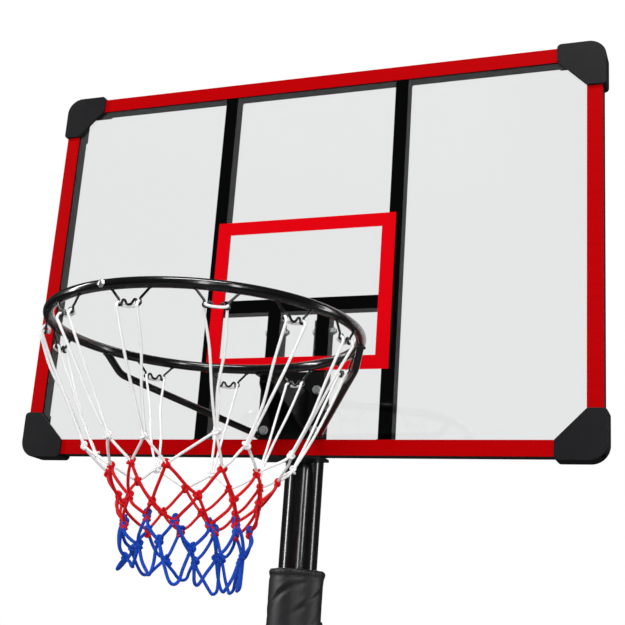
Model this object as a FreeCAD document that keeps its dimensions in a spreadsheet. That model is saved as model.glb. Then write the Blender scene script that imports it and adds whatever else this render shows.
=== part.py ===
import FreeCAD, Part
import math
import os
import re

import Sketcher
from FreeCAD import Placement, Rotation, Vector

# Portable basketball hoop. Millimetres, +Z up, the players' side towards -Y.
# The origin is on the floor, under the pole's axis.

SIZES = {
    # height setting: the rim's centre line above the floor at the lowest setting
    "rim_height": 2300,
    "height_travel": 750,
    "height_step": 150,
    # backboard and its frame
    "board_width": 1100,
    "board_height": 750,
    "board_ahead": 87,
    "panel_thick": 4,
    "film_thick": 0.3,
    "border_width": 28,
    "frame_width": 28,
    "frame_depth": 25,
    "tube_wall": 1.5,
    "upright_width": 25,
    "upright_spread": 379,
    "inner_spread": 97,
    "cross_height": 269,
    "target_width": 357,
    "target_height": 297,
    "target_line": 26,
    "target_foot": 155,
    "foot_plate_width": 122,
    "foot_plate_depth": 46,
    "foot_plate_thick": 5,
    # corner protectors
    "corner_leg": 88,
    "corner_end": 34,
    "corner_radius": 32,
    "corner_over": 7,
    "corner_skin": 4,
    "corner_gap": 0.5,
    "corner_clip": 15,
    # rim, hooks and braces
    "rim_radius": 236.5,
    "rim_tube": 8,
    "rim_reach": 371,
    "rim_above_foot": 123,
    "hook_wire": 1.8,
    "hook_span": 58,
    "hook_drop": 27,
    "brace_bend": 30,
    "brace_rod": 6,
    "brace_angle": 22,
    "brace_rise": 28,
    "brace_foot_x": 60,
    "brace_foot_up": 36,
    "screw_radius": 6,
    "ring_screw_angle": -100.5,
    "bracket_half": 34,
    "bracket_nose_half": 13,
    "bracket_corner": 6,
    "bracket_wall": 3,
    "tongue_width": 26,
    "bracket_nose_foot": 104,
    "bracket_back_foot": 36,
    "plate_half": 61,
    "plate_thick": 4,
    "plate_top": 151,
    "rim_bolt_low": 44,
    "rim_bolt_pitch": 73,
    "bolt_radius": 4,
    "bolt_gap": 0.4,
    "washer_radius": 8.2,
    "washer_thick": 1.6,
    "hex_radius": 7.4,
    "head_thick": 5.3,
    "nut_thick": 6.5,
    "bolt_tail": 4,
    # net
    "net_cord": 2.4,
    "net_hang": 20,
    "net_length": 362,
    # pole channel and its fasteners
    "channel_wall": 3,
    "channel_gap": 0.4,
    "channel_height": 150,
    "ear_height": 250,
    "side_bolt_top": 232,
    "side_bolt_low": 87,
    "pole_bolt_low": 30,
    "pole_bolt_pitch": 90,
    # poles and bushes
    "pole_radius": 35,
    "pole_wall": 2,
    "pole_length": 1300,
    "pole_above_foot": 140,
    "sleeve_radius": 40,
    "neck_length": 120,
    "middle_length": 1095,
    "middle_top_gap": 198,
    "bush_length": 50,
    "bush_lip": 4,
    "slide_gap": 0.3,
    "pole_floor": 12,
    # height lock
    "lock_drop": 90,
    "lock_hole": 5.5,
    "lock_pin": 5,
    "lock_travel": 10,
    "spring_wire": 0.7,
    "housing_radius": 12,
    "housing_length": 28,
    "knob_radius": 19,
    "knob_length": 24,
    # pole pad
    "pad_radius": 50.5,
    "pad_length": 1200,
    "pad_above": 5,
    "pad_eyelet": 21,
    # struts
    "collar_below": 244,
    "collar_tall": 44,
    "collar_wall": 4,
    "strut_radius": 12.5,
    "strut_foot_x": 235,
    "strut_foot_y": 545,
    "foot_bolt_back": 38,
    "strut_tab": 17,
    "tab_thick": 5,
    # base tank
    "tank_width": 680,
    "tank_length": 1000,
    "tank_front": 170,
    "tank_height": 150,
    "tank_corner": 60,
    "tank_edge": 18,
    "rib_pitch": 84,
    "rib_width": 18,
    "rib_height": 4,
    "rib_start": 120,
    "rib_end": 590,
    "tank_wall": 4,
    "tank_draft": 4,
    "well_wall": 5,
    "well_collar": 40,
    "neck_radius": 32,
    "neck_bore": 25,
    "neck_height": 16,
    "filler_y": 690,
    "cap_radius": 39,
    "cap_height": 22,
    # wheels
    "wheel_radius": 60,
    "wheel_width": 36,
    "wheel_spread": 510,
    "wheel_gap": 6,
    "axle_radius": 6,
    "axle_height": 70,
    "axle_y": -150,
    "axle_gap": 0.1,
    "axle_end": 331,
}

# Longer than anything that a cutting block has to pass.
CLEAR = 200

# Where each net hook stands round the rim, in degrees, 0 towards +X and -90 towards the players.
# The back of the rim has wider gaps, where the braces and the bracket meet it.
HOOK_ANGLES = (-90, -61, -34, -7, 44, 75, 105, 136, 187, 214, 241)

# Net profile: (share of the net's length below its top, radius).
NET_PROFILE = ((0, 224), (0.46, 160), (0.55, 126), (0.66, 106), (0.75, 90), (0.86, 82), (1, 84))

BOARD_FOOT = "(rim_height - rim_above_foot)"
BOARD_FRONT = "(0 - board_ahead)"
FRAME_FRONT = "(panel_thick - board_ahead)"
FRAME_BACK = "(panel_thick + frame_depth - board_ahead)"
RIM_Y = "(0 - board_ahead - rim_reach)"
MIDDLE_TOP = f"({BOARD_FOOT} - middle_top_gap)"
MIDDLE_FOOT = f"({MIDDLE_TOP} - middle_length)"
LOCK_Z = f"({MIDDLE_TOP} - lock_drop)"

ALONG_X = Rotation(Vector(0, 1, 0), 90)
ALONG_Y = Rotation(Vector(1, 0, 0), -90)
ALONG_Z = Rotation()

doc = FreeCAD.newDocument("hoop")
sheet = doc.addObject("Spreadsheet::Sheet", "Sizes")
for row, (word, value) in enumerate(SIZES.items(), start=1):
    sheet.set(f"A{row}", word)
    sheet.set(f"B{row}", str(value))
    sheet.setAlias(f"B{row}", word)
doc.recompute()

nodes = []


def size(word):
    """A size as the sheet holds it, for the few shapes that are made in code."""
    return float(sheet.get(word))


def bound(formula):
    """Write a formula of size names the way the document's expressions want it."""
    return re.sub(r"[a-z][a-z_]+", lambda word: ("Sizes." if word[0] in SIZES else "") + word[0], formula)


def bind(item, **formulas):
    """Tie properties of an object to formulas of the sheet's cells."""
    for prop, formula in formulas.items():
        item.setExpression(prop, bound(formula))
    return item


def place(item, x, y, z, turn=ALONG_Z):
    """Set an object down at formulas of the sheet's cells."""
    item.Placement = Placement(Vector(), turn)
    for axis, formula in zip("xyz", (x, y, z)):
        item.setExpression(f"Placement.Base.{axis}", bound(formula))
    return item


def keep(name, item):
    """Name an object as a sub-part, which gets a file of its own."""
    item.Label = name
    nodes.append(item)
    return item


def box(x, y, z):
    """A block from three (low end, length) pairs."""
    item = doc.addObject("Part::Box", "block")
    bind(item, Length=x[1], Width=y[1], Height=z[1])
    return place(item, x[0], y[0], z[0])


def rod(radius, length, x, y, z, turn=ALONG_Z):
    """A round bar that starts at x, y, z."""
    item = doc.addObject("Part::Cylinder", "bar")
    bind(item, Radius=radius, Height=length)
    return place(item, x, y, z, turn)


def hexagon(length, x, y, z, turn):
    """A bolt head's or a nut's hexagon, which starts at x, y, z."""
    item = doc.addObject("Part::Prism", "hexagon")
    item.Polygon = 6
    bind(item, Circumradius="hex_radius", Height=length)
    return place(item, x, y, z, turn)


def fuse(*items):
    """Join objects into one solid."""
    item = doc.addObject("Part::MultiFuse", "joined")
    item.Shapes = list(items)
    return item


def meet(first, second):
    """Keep what two objects share."""
    item = doc.addObject("Part::Common", "shared")
    item.Base = first
    item.Tool = second
    return item


def cut(base, *tools):
    """Take objects away from a base object."""
    item = doc.addObject("Part::Cut", "cut")
    item.Base = base
    item.Tool = tools[0] if len(tools) == 1 else fuse(*tools)
    return item


def group(items):
    """Separate solids that share one node."""
    item = doc.addObject("Part::Compound", "set")
    item.Links = list(items)
    return item


def hollow(x, y, z, along):
    """A square tube whose bore runs along one axis, "x" or "z"."""
    def inside(pair, is_open):
        if is_open:
            return (f"{pair[0]} - 1", f"{pair[1]} + 2")
        return (f"{pair[0]} + tube_wall", f"{pair[1]} - 2 * tube_wall")
    bore = box(inside(x, along == "x"), inside(y, False), inside(z, along == "z"))
    return cut(box(x, y, z), bore)


def pipe(outer, inner, length, x, y, z):
    """An upright round tube."""
    return cut(rod(outer, length, x, y, z), rod(inner, f"{length} + 2", x, y, f"{z} - 1"))


def along(axis, x, y, z, shift):
    """The point x, y, z moved along one axis by a formula."""
    moved = {"x": x, "y": y, "z": z}
    moved[axis] = f"{moved[axis]} + {shift}"
    return moved["x"], moved["y"], moved["z"]


TURNS = {"x": ALONG_X, "y": ALONG_Y, "z": ALONG_Z}


def bolt(axis, x, y, z, grip):
    """A hexagon bolt along an axis: the face under its head is at x, y, z."""
    head = hexagon("head_thick", *along(axis, x, y, z, "(0 - head_thick)"), TURNS[axis])
    shank = rod("bolt_radius", f"{grip} + nut_thick + bolt_tail + 1", *along(axis, x, y, z, "(0 - 1)"),
                TURNS[axis])
    return fuse(head, shank)


def nut(axis, x, y, z):
    """A nut whose seat is at x, y, z."""
    body = hexagon("nut_thick", x, y, z, TURNS[axis])
    return cut(body, rod("bolt_radius", "nut_thick + 2", *along(axis, x, y, z, "(0 - 1)"), TURNS[axis]))


def washer(axis, x, y, z):
    """A washer whose low face is at x, y, z."""
    disc = rod("washer_radius", "washer_thick", x, y, z, TURNS[axis])
    return cut(disc, rod("bolt_radius", "washer_thick + 2", *along(axis, x, y, z, "(0 - 1)"), TURNS[axis]))


def bolt_hole(axis, x, y, z, length):
    """The clearance hole for a bolt."""
    return rod("bolt_radius + bolt_gap", length, x, y, z, TURNS[axis])


def outline_body(role, points, depth, x, y, z, draft=None):
    """A Body: a closed outline of (across, up) formulas on one of its origin planes, padded."""
    body = doc.addObject("PartDesign::Body", "body")
    sketch = body.newObject("Sketcher::SketchObject", "outline")
    plane = [item for item in body.Origin.OriginFeatures if item.Role == role][0]
    sketch.AttachmentSupport = (plane, "")
    sketch.MapMode = "FlatFace"
    count = len(points)
    turns = [2 * math.pi * i / count for i in range(count)]
    ring = [Vector(10 * math.cos(turn), 10 * math.sin(turn), 0) for turn in turns]
    for i in range(count):
        sketch.addGeometry(Part.LineSegment(ring[i], ring[(i + 1) % count]), False)
    for i in range(count):
        sketch.addConstraint(Sketcher.Constraint("Coincident", i, 2, (i + 1) % count, 1))
    for i, point in enumerate(points):
        for kind, start, formula in zip(("DistanceX", "DistanceY"), ring[i], point):
            number = sketch.addConstraint(Sketcher.Constraint(kind, i, 1, start))
            sketch.setExpression(f"Constraints[{number}]", bound(formula))
    pad = body.newObject("PartDesign::Pad", "pad")
    pad.Profile = sketch
    bind(pad, Length=depth)
    if draft:
        bind(pad, TaperAngle=draft)
    place(body, x, y, z)
    doc.recompute()
    return body


def round_edges(body, radius, wanted):
    """Round the edges of a Body that pass a test of their middle and their direction."""
    base = body.Tip
    names = []
    for number, edge in enumerate(base.Shape.Edges, start=1):
        heading = edge.tangentAt(edge.FirstParameter)
        if wanted(edge.CenterOfMass, heading):
            names.append(f"Edge{number}")
    fillet = body.newObject("PartDesign::Fillet", "fillet")
    fillet.Base = (base, names)
    bind(fillet, Radius=radius)
    doc.recompute()
    return body


def feature(shape):
    """A sub-part whose shape is made by Part's own functions."""
    item = doc.addObject("Part::Feature", "made")
    item.Shape = shape
    return item


def bent_path(points, bends):
    """A wire of straight runs joined by tangent arcs, one bend radius for each inner point."""
    edges = []
    start = points[0]
    for before, corner, after, bend in zip(points, points[1:], points[2:], bends):
        come = (corner - before).normalize()
        leave = (after - corner).normalize()
        half = come.getAngle(leave) / 2
        reach = bend * math.tan(half)
        first = corner - come * reach
        last = corner + leave * reach
        inward = (leave - come).normalize()
        middle = corner + inward * (bend / math.cos(half) - bend)
        edges.append(Part.makeLine(start, first))
        edges.append(Part.Arc(first, middle, last).toShape())
        start = last
    edges.append(Part.makeLine(start, points[-1]))
    return Part.Wire(edges)


def swept(path, radius):
    """A round bar along a wire."""
    start = path.Edges[0]
    circle = Part.makeCircle(radius, start.valueAt(start.FirstParameter),
                             start.tangentAt(start.FirstParameter))
    return path.makePipeShell([Part.Wire(circle)], True, True)


# ---------------------------------------------------------------- backboard

LEFT_EDGE = "(0 - board_width / 2)"
BOARD_TOP = f"({BOARD_FOOT} + board_height)"
clips = []
for edge in (LEFT_EDGE, "(board_width / 2)"):
    for level in (BOARD_FOOT, BOARD_TOP):
        corner = box(("0", "corner_clip * sqrt(2)"), ("0", "200"), ("0", "corner_clip * sqrt(2)"))
        clips.append(place(corner, f"{edge} - corner_clip", f"{BOARD_FRONT} - 100", level,
                           Rotation(Vector(0, 1, 0), 45)))
corner_clips = fuse(*clips)

RIM_BOLT_X = ("(0 - inner_spread / 2)", "(inner_spread / 2)")
RIM_BOLT_Z = (f"({BOARD_FOOT} + rim_bolt_low)", f"({BOARD_FOOT} + rim_bolt_low + rim_bolt_pitch)")
rim_bolt_places = [(x, z) for x in RIM_BOLT_X for z in RIM_BOLT_Z]
rim_holes = fuse(*[bolt_hole("y", x, f"{BOARD_FRONT} - 20", z, "100") for x, z in rim_bolt_places])

panel_sheet = box((LEFT_EDGE, "board_width"), (BOARD_FRONT, "panel_thick"), (BOARD_FOOT, "board_height"))
keep("panel", cut(panel_sheet, corner_clips, rim_holes))

FILM_FRONT = f"({BOARD_FRONT} - film_thick)"
border = box((LEFT_EDGE, "board_width"), (FILM_FRONT, "film_thick"), (BOARD_FOOT, "board_height"))
border_window = box((f"{LEFT_EDGE} + border_width", "board_width - 2 * border_width"),
                    (f"{FILM_FRONT} - 1", "film_thick + 2"),
                    (f"{BOARD_FOOT} + border_width", "board_height - 2 * border_width"))
keep("border_film", cut(border, border_window, corner_clips))

TARGET_Z = f"({BOARD_FOOT} + target_foot)"
target = box(("(0 - target_width / 2)", "target_width"), (FILM_FRONT, "film_thick"),
             (TARGET_Z, "target_height"))
target_window = box(("(target_line - target_width / 2)", "target_width - 2 * target_line"),
                    (f"{FILM_FRONT} - 1", "film_thick + 2"),
                    (f"{TARGET_Z} + target_line", "target_height - 2 * target_line"))
keep("target_film", cut(target, target_window))

FRAME_Y = (FRAME_FRONT, "frame_depth")
for name, level in (("frame_tube_top", f"({BOARD_TOP} - frame_width)"), ("frame_tube_bottom", BOARD_FOOT)):
    tube = hollow((LEFT_EDGE, "board_width"), FRAME_Y, (level, "frame_width"), "x")
    keep(name, cut(tube, corner_clips))

SIDE_Z = (f"{BOARD_FOOT} + frame_width", "board_height - 2 * frame_width")
for name, edge in (("frame_tube_left", LEFT_EDGE), ("frame_tube_right", "(board_width / 2 - frame_width)")):
    keep(name, hollow((edge, "frame_width"), FRAME_Y, SIDE_Z, "z"))

for name, edge in (("upright_left", "(0 - upright_spread / 2)"),
                   ("upright_right", "(upright_spread / 2 - upright_width)")):
    keep(name, hollow((edge, "upright_width"), FRAME_Y, SIDE_Z, "z"))

CROSS_Z = f"({BOARD_FOOT} + cross_height)"
keep("cross_tube", hollow(("(upright_width - upright_spread / 2)", "upright_spread - 2 * upright_width"),
                          FRAME_Y, (CROSS_Z, "upright_width"), "x"))

SIDE_BOLT_Y = f"({FRAME_FRONT} + frame_depth / 2)"
side_bolt_levels = [f"({BOARD_FOOT} + {word})" for word in ("side_bolt_low", "side_bolt_top")]
side_holes = fuse(*[bolt_hole("x", "(0 - inner_spread)", SIDE_BOLT_Y, z, "2 * inner_spread")
                    for z in side_bolt_levels])
INNER_Z = (f"{BOARD_FOOT} + frame_width", "cross_height - frame_width")
INNER_FACE = "(inner_spread / 2 - upright_width / 2)"
OUTER_FACE = "(inner_spread / 2 + upright_width / 2)"
for name, edge in (("inner_upright_left", f"(0 - {OUTER_FACE})"), ("inner_upright_right", INNER_FACE)):
    tube = hollow((edge, "upright_width"), FRAME_Y, INNER_Z, "z")
    keep(name, cut(tube, rim_holes, side_holes))

keep("foot_plate", box(("(0 - foot_plate_width / 2)", "foot_plate_width"),
                       (f"{BOARD_FRONT} + 2", "foot_plate_depth"),
                       (f"{BOARD_FOOT} - foot_plate_thick", "foot_plate_thick")))

# ---------------------------------------------------------------- corner protectors

CAP_FRONT = f"({FILM_FRONT} - corner_gap - corner_skin)"
CAP_BACK = f"({FRAME_BACK} + corner_gap + corner_skin)"
CAP_DEPTH = f"({CAP_BACK} - {CAP_FRONT})"
corner_outline = (("0", "0"), ("corner_leg", "0"), ("corner_leg", "corner_end"), ("corner_end", "corner_leg"),
                  ("0", "corner_leg"))


def is_outer_corner(middle, heading):
    """True for the edge at the board's corner."""
    return abs(heading.y) > 0.9 and abs(middle.x) < 1 and abs(middle.z) < 1


def is_leg_end(middle, heading):
    """True for the edges at the far ends of the two legs."""
    return abs(heading.y) > 0.9 and max(abs(middle.x), abs(middle.z)) > size("corner_leg") - 1


def is_front_rim(middle, heading):
    """True for the edges round the front face."""
    return middle.y < 1 - (size("frame_depth") + size("panel_thick"))


for side, edge in (("left", LEFT_EDGE), ("right", "(board_width / 2)")):
    for level, height in (("bottom", BOARD_FOOT), ("top", BOARD_TOP)):
        across = 1 if side == "left" else -1
        up = 1 if level == "bottom" else -1
        points = [(f"{across} * {u}", f"{up} * {v}") for u, v in corner_outline]
        shell = outline_body("XZ_Plane", points, CAP_DEPTH, f"{edge} - {across} * corner_over", CAP_BACK,
                             f"{height} - {up} * corner_over")
        round_edges(shell, "corner_radius", is_outer_corner)
        round_edges(shell, "corner_radius / 4", is_leg_end)
        round_edges(shell, "corner_skin / 3", is_front_rim)
        low_x = f"({edge} - corner_gap)" if across == 1 else f"({edge} + corner_gap - 2 * corner_leg)"
        low_z = f"({height} - corner_gap)" if up == 1 else f"({height} + corner_gap - 2 * corner_leg)"
        pocket = box((low_x, "2 * corner_leg"),
                     (f"{CAP_FRONT} + corner_skin", f"{CAP_DEPTH} - 2 * corner_skin"),
                     (low_z, "2 * corner_leg"))
        # Behind the clear panel only the tubes are covered, so nothing of it shows through.
        open_x = f"({edge} + frame_width)" if across == 1 else f"({edge} - frame_width - 2 * corner_leg)"
        open_z = f"({height} + frame_width)" if up == 1 else f"({height} - frame_width - 2 * corner_leg)"
        opening = box((open_x, "2 * corner_leg"), (BOARD_FRONT, "2 * corner_leg"), (open_z, "2 * corner_leg"))
        keep(f"corner_{level}_{side}", cut(shell, pocket, opening))

# ---------------------------------------------------------------- rim

RIM_Z = "rim_height"
ring = doc.addObject("Part::Torus", "ring")
bind(ring, Radius1="rim_radius", Radius2="rim_tube")
keep("rim_ring", place(ring, "0", RIM_Y, RIM_Z))

rim_centre = Vector(0, -size("board_ahead") - size("rim_reach"), size("rim_height"))
rim_under = size("rim_height") - size("rim_tube")
hook_half = size("hook_span") / 2
hook_drop = size("hook_drop")
# A hook's left half, as shares of half its span and of its drop, with each bend's radius.
HOOK_SHAPE = ((-1, 0), (-0.55, -0.55), (-0.62, -0.82), (-0.42, -0.88), (-0.33, -0.46), (0, -1))
HOOK_BENDS = (2.5, 2.2, 2.2, 2.2, 5)
hook_points = [Vector(u * hook_half, 0, v * hook_drop) for u, v in HOOK_SHAPE]
hook_points += [Vector(-point.x, 0, point.z) for point in reversed(hook_points[:-1])]
hook_bends = HOOK_BENDS + tuple(reversed(HOOK_BENDS[:-1]))
hook = swept(bent_path(hook_points, hook_bends), size("hook_wire"))
hooks = []
for angle in HOOK_ANGLES:
    spoke = math.radians(angle)
    foot = rim_centre + Vector(math.cos(spoke), math.sin(spoke), 0) * size("rim_radius")
    foot.z = rim_under
    wire = hook.copy()
    wire.Placement = Placement(foot, Rotation(Vector(0, 0, 1), angle + 90))
    above = Part.makeBox(CLEAR, CLEAR, CLEAR, foot - Vector(CLEAR / 2, CLEAR / 2, 0))
    hooks.append(wire.cut(above))
keep("net_hooks", feature(Part.makeCompound(hooks)))

BRACKET_BACK = f"({BOARD_FRONT} - plate_thick)"
NOSE_Y = f"({RIM_Y} + rim_radius + rim_tube + 1)"
BRACKET_TOP = f"({RIM_Z} - rim_tube)"


def bracket_body(half, nose_half, nose, back, top, nose_foot, back_foot, corner):
    """The bracket's outline from the side, where it meets its outline from above, which narrows to the nose."""
    from_side = ((nose, nose_foot), (nose, top), (back, top), (back, back_foot))
    side = outline_body("YZ_Plane", from_side, f"2 * {half}", f"(0 - {half})", "0", "0")
    from_above = ((f"(0 - {half})", back), (f"(0 - {nose_half})", nose), (nose_half, nose), (half, back))
    plan = outline_body("XY_Plane", from_above, f"{top} - {back_foot}", "0", "0", back_foot)
    front = min(vertex.Point.y for vertex in plan.Shape.Vertexes)
    round_edges(plan, corner, lambda middle, heading: abs(heading.z) > 0.9 and middle.y < front + 1)
    return meet(side, plan)


bracket_outside = bracket_body("bracket_half", "bracket_nose_half", NOSE_Y, BRACKET_BACK, BRACKET_TOP,
                               f"({BOARD_FOOT} + bracket_nose_foot)", f"({BOARD_FOOT} + bracket_back_foot)",
                               "bracket_corner")
bracket_inside = bracket_body("(bracket_half - bracket_wall)", "(bracket_nose_half - bracket_wall)",
                              f"({NOSE_Y} + bracket_wall)", f"({BRACKET_BACK} + 1)",
                              f"({BRACKET_TOP} - bracket_wall)", f"({BOARD_FOOT} - 1)", f"({BOARD_FOOT} - 1)",
                              "bracket_corner - bracket_wall")
tongue = box(("(0 - tongue_width / 2)", "tongue_width"),
             (f"({RIM_Y} + rim_radius - rim_tube)", "2 * rim_tube + 1 + bracket_corner"),
             (f"({BRACKET_TOP} - bracket_wall)", "bracket_wall"))
keep("rim_bracket", fuse(cut(bracket_outside, bracket_inside), tongue))

PLATE_FOOT = f"({BOARD_FOOT} + border_width + 0.5)"
plate = box(("(0 - plate_half)", "2 * plate_half"), (BRACKET_BACK, "plate_thick"),
            (PLATE_FOOT, "plate_top - border_width - 0.5"))
keep("rim_plate", cut(plate, rim_holes))

WASHER_Y = f"({BRACKET_BACK} - washer_thick)"
RIM_GRIP = "(washer_thick + plate_thick + panel_thick + frame_depth)"
keep("rim_bolts", group([bolt("y", x, WASHER_Y, z, RIM_GRIP) for x, z in rim_bolt_places]))
keep("rim_washers", group([washer("y", x, WASHER_Y, z) for x, z in rim_bolt_places]))
keep("rim_nuts", group([nut("y", x, FRAME_BACK, z) for x, z in rim_bolt_places]))

brace_spoke = math.radians(size("brace_angle"))
brace_end = rim_centre + Vector(math.cos(brace_spoke), math.sin(brace_spoke), 0) * size("rim_radius")
brace_end.z = rim_under
board_foot = size("rim_height") - size("rim_above_foot")
plate_front = -size("board_ahead") - size("plate_thick")
brace_start = Vector(size("brace_foot_x"), plate_front - size("brace_rod"), board_foot + size("brace_foot_up"))
lead = Vector(brace_end.x - brace_start.x, brace_end.y - brace_start.y, 0).normalize()
brace_bend = brace_end - (lead + Vector(0, 0, 1)) * size("brace_rise")
brace_tip = brace_end + (lead + Vector(0, 0, 1)) * size("brace_rod")
brace = swept(bent_path([brace_start, brace_bend, brace_tip], [size("brace_bend")]), size("brace_rod"))
brace = brace.cut(Part.makeBox(CLEAR, CLEAR, CLEAR, brace_end - Vector(CLEAR / 2, CLEAR / 2, 0)))
keep("rim_brace_right", feature(brace))
keep("rim_brace_left", feature(brace.mirror(Vector(), Vector(1, 0, 0))))

screw_spoke = math.radians(size("ring_screw_angle"))
outward = Vector(math.cos(screw_spoke), math.sin(screw_spoke), 0)
screw_seat = rim_centre + outward * (size("rim_radius") + size("rim_tube") - 1)
screw_r = size("screw_radius")
dome_ball = Part.makeSphere(screw_r + 1, screw_seat - outward * (screw_r / 2 - 0.5))
dome = dome_ball.common(Part.makeCylinder(screw_r, 2 * screw_r, screw_seat, outward))
ring_solid = Part.makeTorus(size("rim_radius"), size("rim_tube"), rim_centre)
keep("ring_screw", feature(dome.cut(ring_solid)))

# ---------------------------------------------------------------- net, as one thin sleeve

net_top = size("rim_height") - size("net_hang")
wall = size("net_cord")
net_outside = [Vector(radius + wall, 0, net_top - share * size("net_length")) for share, radius in NET_PROFILE]
net_inside = [point - Vector(2 * wall, 0, 0) for point in reversed(net_outside)]
profile = Part.Face(Part.makePolygon(net_outside + net_inside + net_outside[:1]))
sleeve = profile.revolve(Vector(), Vector(0, 0, 1), 360)
sleeve.translate(Vector(0, rim_centre.y, 0))
keep("net", feature(sleeve))

# ---------------------------------------------------------------- pole and what carries the board

POLE_FOOT = f"({BOARD_FOOT} + pole_above_foot - pole_length)"
POLE_INSIDE = "(pole_radius - pole_wall)"
pole_bolt_levels = [f"({BOARD_FOOT} + pole_bolt_low)", f"({BOARD_FOOT} + pole_bolt_low + pole_bolt_pitch)"]
pole_holes = fuse(*[bolt_hole("y", "0", "(0 - 2 * pole_radius)", z, "4 * pole_radius")
                    for z in pole_bolt_levels])
steps = int(size("height_travel") / size("height_step")) + 1
lock_holes = fuse(*[rod("lock_hole", "pole_radius + 5", "0", "0", f"{LOCK_Z} - {step} * height_step", ALONG_Y)
                    for step in range(steps)])
tube = pipe("pole_radius", POLE_INSIDE, "pole_length", "0", "0", POLE_FOOT)
keep("upper_pole", cut(tube, pole_holes, lock_holes))

POLE_TOP = f"({POLE_FOOT} + pole_length)"
keep("pole_cap", fuse(rod("pole_radius", "4", "0", "0", POLE_TOP),
                      rod(POLE_INSIDE, "12", "0", "0", f"{POLE_TOP} - 12")))

ARM_FRONT = f"({FRAME_FRONT} + 1)"
ARM_LENGTH = f"(0 - pole_radius - {ARM_FRONT})"
ARM_Z = (BOARD_FOOT, "channel_height")
EAR_Z = (f"{BOARD_FOOT} + channel_height - 1", "ear_height - channel_height + 1")
ARM_OUT = f"({INNER_FACE} - channel_gap)"
arms = []
for edge in (f"(0 - {ARM_OUT})", f"({ARM_OUT} - channel_wall)"):
    arms.append(box((edge, "channel_wall"), (ARM_FRONT, ARM_LENGTH), (f"{ARM_Z[0]} + frame_width + 1",
                                                                     f"{ARM_Z[1]} - frame_width - 1")))
    arms.append(box((edge, "channel_wall"), (ARM_FRONT, "frame_depth"), EAR_Z))
web = box((f"(0 - {ARM_OUT})", f"2 * {ARM_OUT}"), ("(0 - pole_radius - channel_wall)", "channel_wall"), ARM_Z)
low_arms = [box((edge, "channel_wall"), (f"{FRAME_BACK} + 1", f"(0 - pole_radius) - ({FRAME_BACK} + 1)"),
                (BOARD_FOOT, "frame_width + 2"))
            for edge in (f"(0 - {ARM_OUT})", f"({ARM_OUT} - channel_wall)")]
keep("pole_channel", cut(fuse(web, *arms, *low_arms), side_holes, pole_holes))

SIDE_GRIP = "(upright_width + channel_gap + channel_wall)"
left_seat = f"(0 - {OUTER_FACE})"
right_seat = f"({ARM_OUT} - channel_wall)"
side_bolts = []
side_nuts = []
for z in side_bolt_levels:
    side_bolts.append(bolt("x", left_seat, SIDE_BOLT_Y, z, SIDE_GRIP))
    side_bolts.append(bolt("x", right_seat, SIDE_BOLT_Y, z, SIDE_GRIP))
    side_nuts.append(nut("x", f"(channel_wall - {ARM_OUT})", SIDE_BOLT_Y, z))
    side_nuts.append(nut("x", OUTER_FACE, SIDE_BOLT_Y, z))
keep("channel_bolts", group(side_bolts))
keep("channel_nuts", group(side_nuts))

POLE_BOLT_SEAT = "(0 - pole_radius - channel_wall)"
keep("pole_bolts", group([bolt("y", "0", POLE_BOLT_SEAT, z, "(channel_wall + 2 * pole_radius)")
                          for z in pole_bolt_levels]))
keep("pole_nuts", group([nut("y", "0", "pole_radius", z) for z in pole_bolt_levels]))

SLEEVE_INSIDE = "(sleeve_radius - pole_wall)"
keep("guide_bush", pipe(f"({SLEEVE_INSIDE} - slide_gap)", "pole_radius", "bush_length", "0", "0", POLE_FOOT))
bush = pipe(SLEEVE_INSIDE, "(pole_radius + slide_gap)", "bush_length",
            "0", "0", f"({MIDDLE_TOP} - bush_length)")
lip = pipe("sleeve_radius", "(pole_radius + slide_gap)", "bush_lip", "0", "0", MIDDLE_TOP)
keep("collar_bush", fuse(bush, lip))

lock_bore = rod("lock_hole", "2 * sleeve_radius", "0", "0", LOCK_Z, ALONG_Y)
tube = pipe("sleeve_radius", SLEEVE_INSIDE, "middle_length", "0", "0", MIDDLE_FOOT)
keep("middle_pole", cut(tube, lock_bore))
lower = pipe("sleeve_radius", SLEEVE_INSIDE, f"{MIDDLE_FOOT} - pole_floor", "0", "0", "pole_floor")
neck = pipe(SLEEVE_INSIDE, f"({SLEEVE_INSIDE} - pole_wall)", "neck_length + 30", "0", "0",
            f"({MIDDLE_FOOT} - 30)")
keep("bottom_pole", fuse(lower, neck))

# ---------------------------------------------------------------- height lock, drawn back

PIN_TIP = "(pole_radius + 1.5)"
HOUSING_END = "(sleeve_radius + housing_length)"
CHAMBER = "(sleeve_radius + 3)"
CHAMBER_LENGTH = "(housing_length - 7)"
CHAMBER_RADIUS = "(housing_radius - 3)"
STOP_Y = f"({CHAMBER} + 0.5 + lock_travel)"
housing = cut(rod("housing_radius", f"{HOUSING_END} - 10", "0", "10", LOCK_Z, ALONG_Y),
              rod("sleeve_radius", "100", "0", "0", f"({LOCK_Z} - 50)"),
              rod("lock_pin + 0.1", "3 * sleeve_radius", "0", "0", LOCK_Z, ALONG_Y),
              rod(CHAMBER_RADIUS, CHAMBER_LENGTH, "0", CHAMBER, LOCK_Z, ALONG_Y))
keep("lock_housing", housing)
KNOB_Y = f"({HOUSING_END} + lock_travel + 1)"
keep("lock_pin", fuse(rod("lock_pin", f"{KNOB_Y} + 6 - {PIN_TIP}", "0", PIN_TIP, LOCK_Z, ALONG_Y),
                      rod(f"({CHAMBER_RADIUS} - 0.5)", "3", "0", STOP_Y, LOCK_Z, ALONG_Y)))
grips = []
for number in range(8):
    turn = math.radians(45 * number)
    across = f"(knob_radius + 3) * {math.cos(turn):.6f}"
    up = f"{LOCK_Z} + (knob_radius + 3) * {math.sin(turn):.6f}"
    grips.append(rod("5", "knob_length + 2", across, f"({KNOB_Y} - 1)", up, ALONG_Y))
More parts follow.
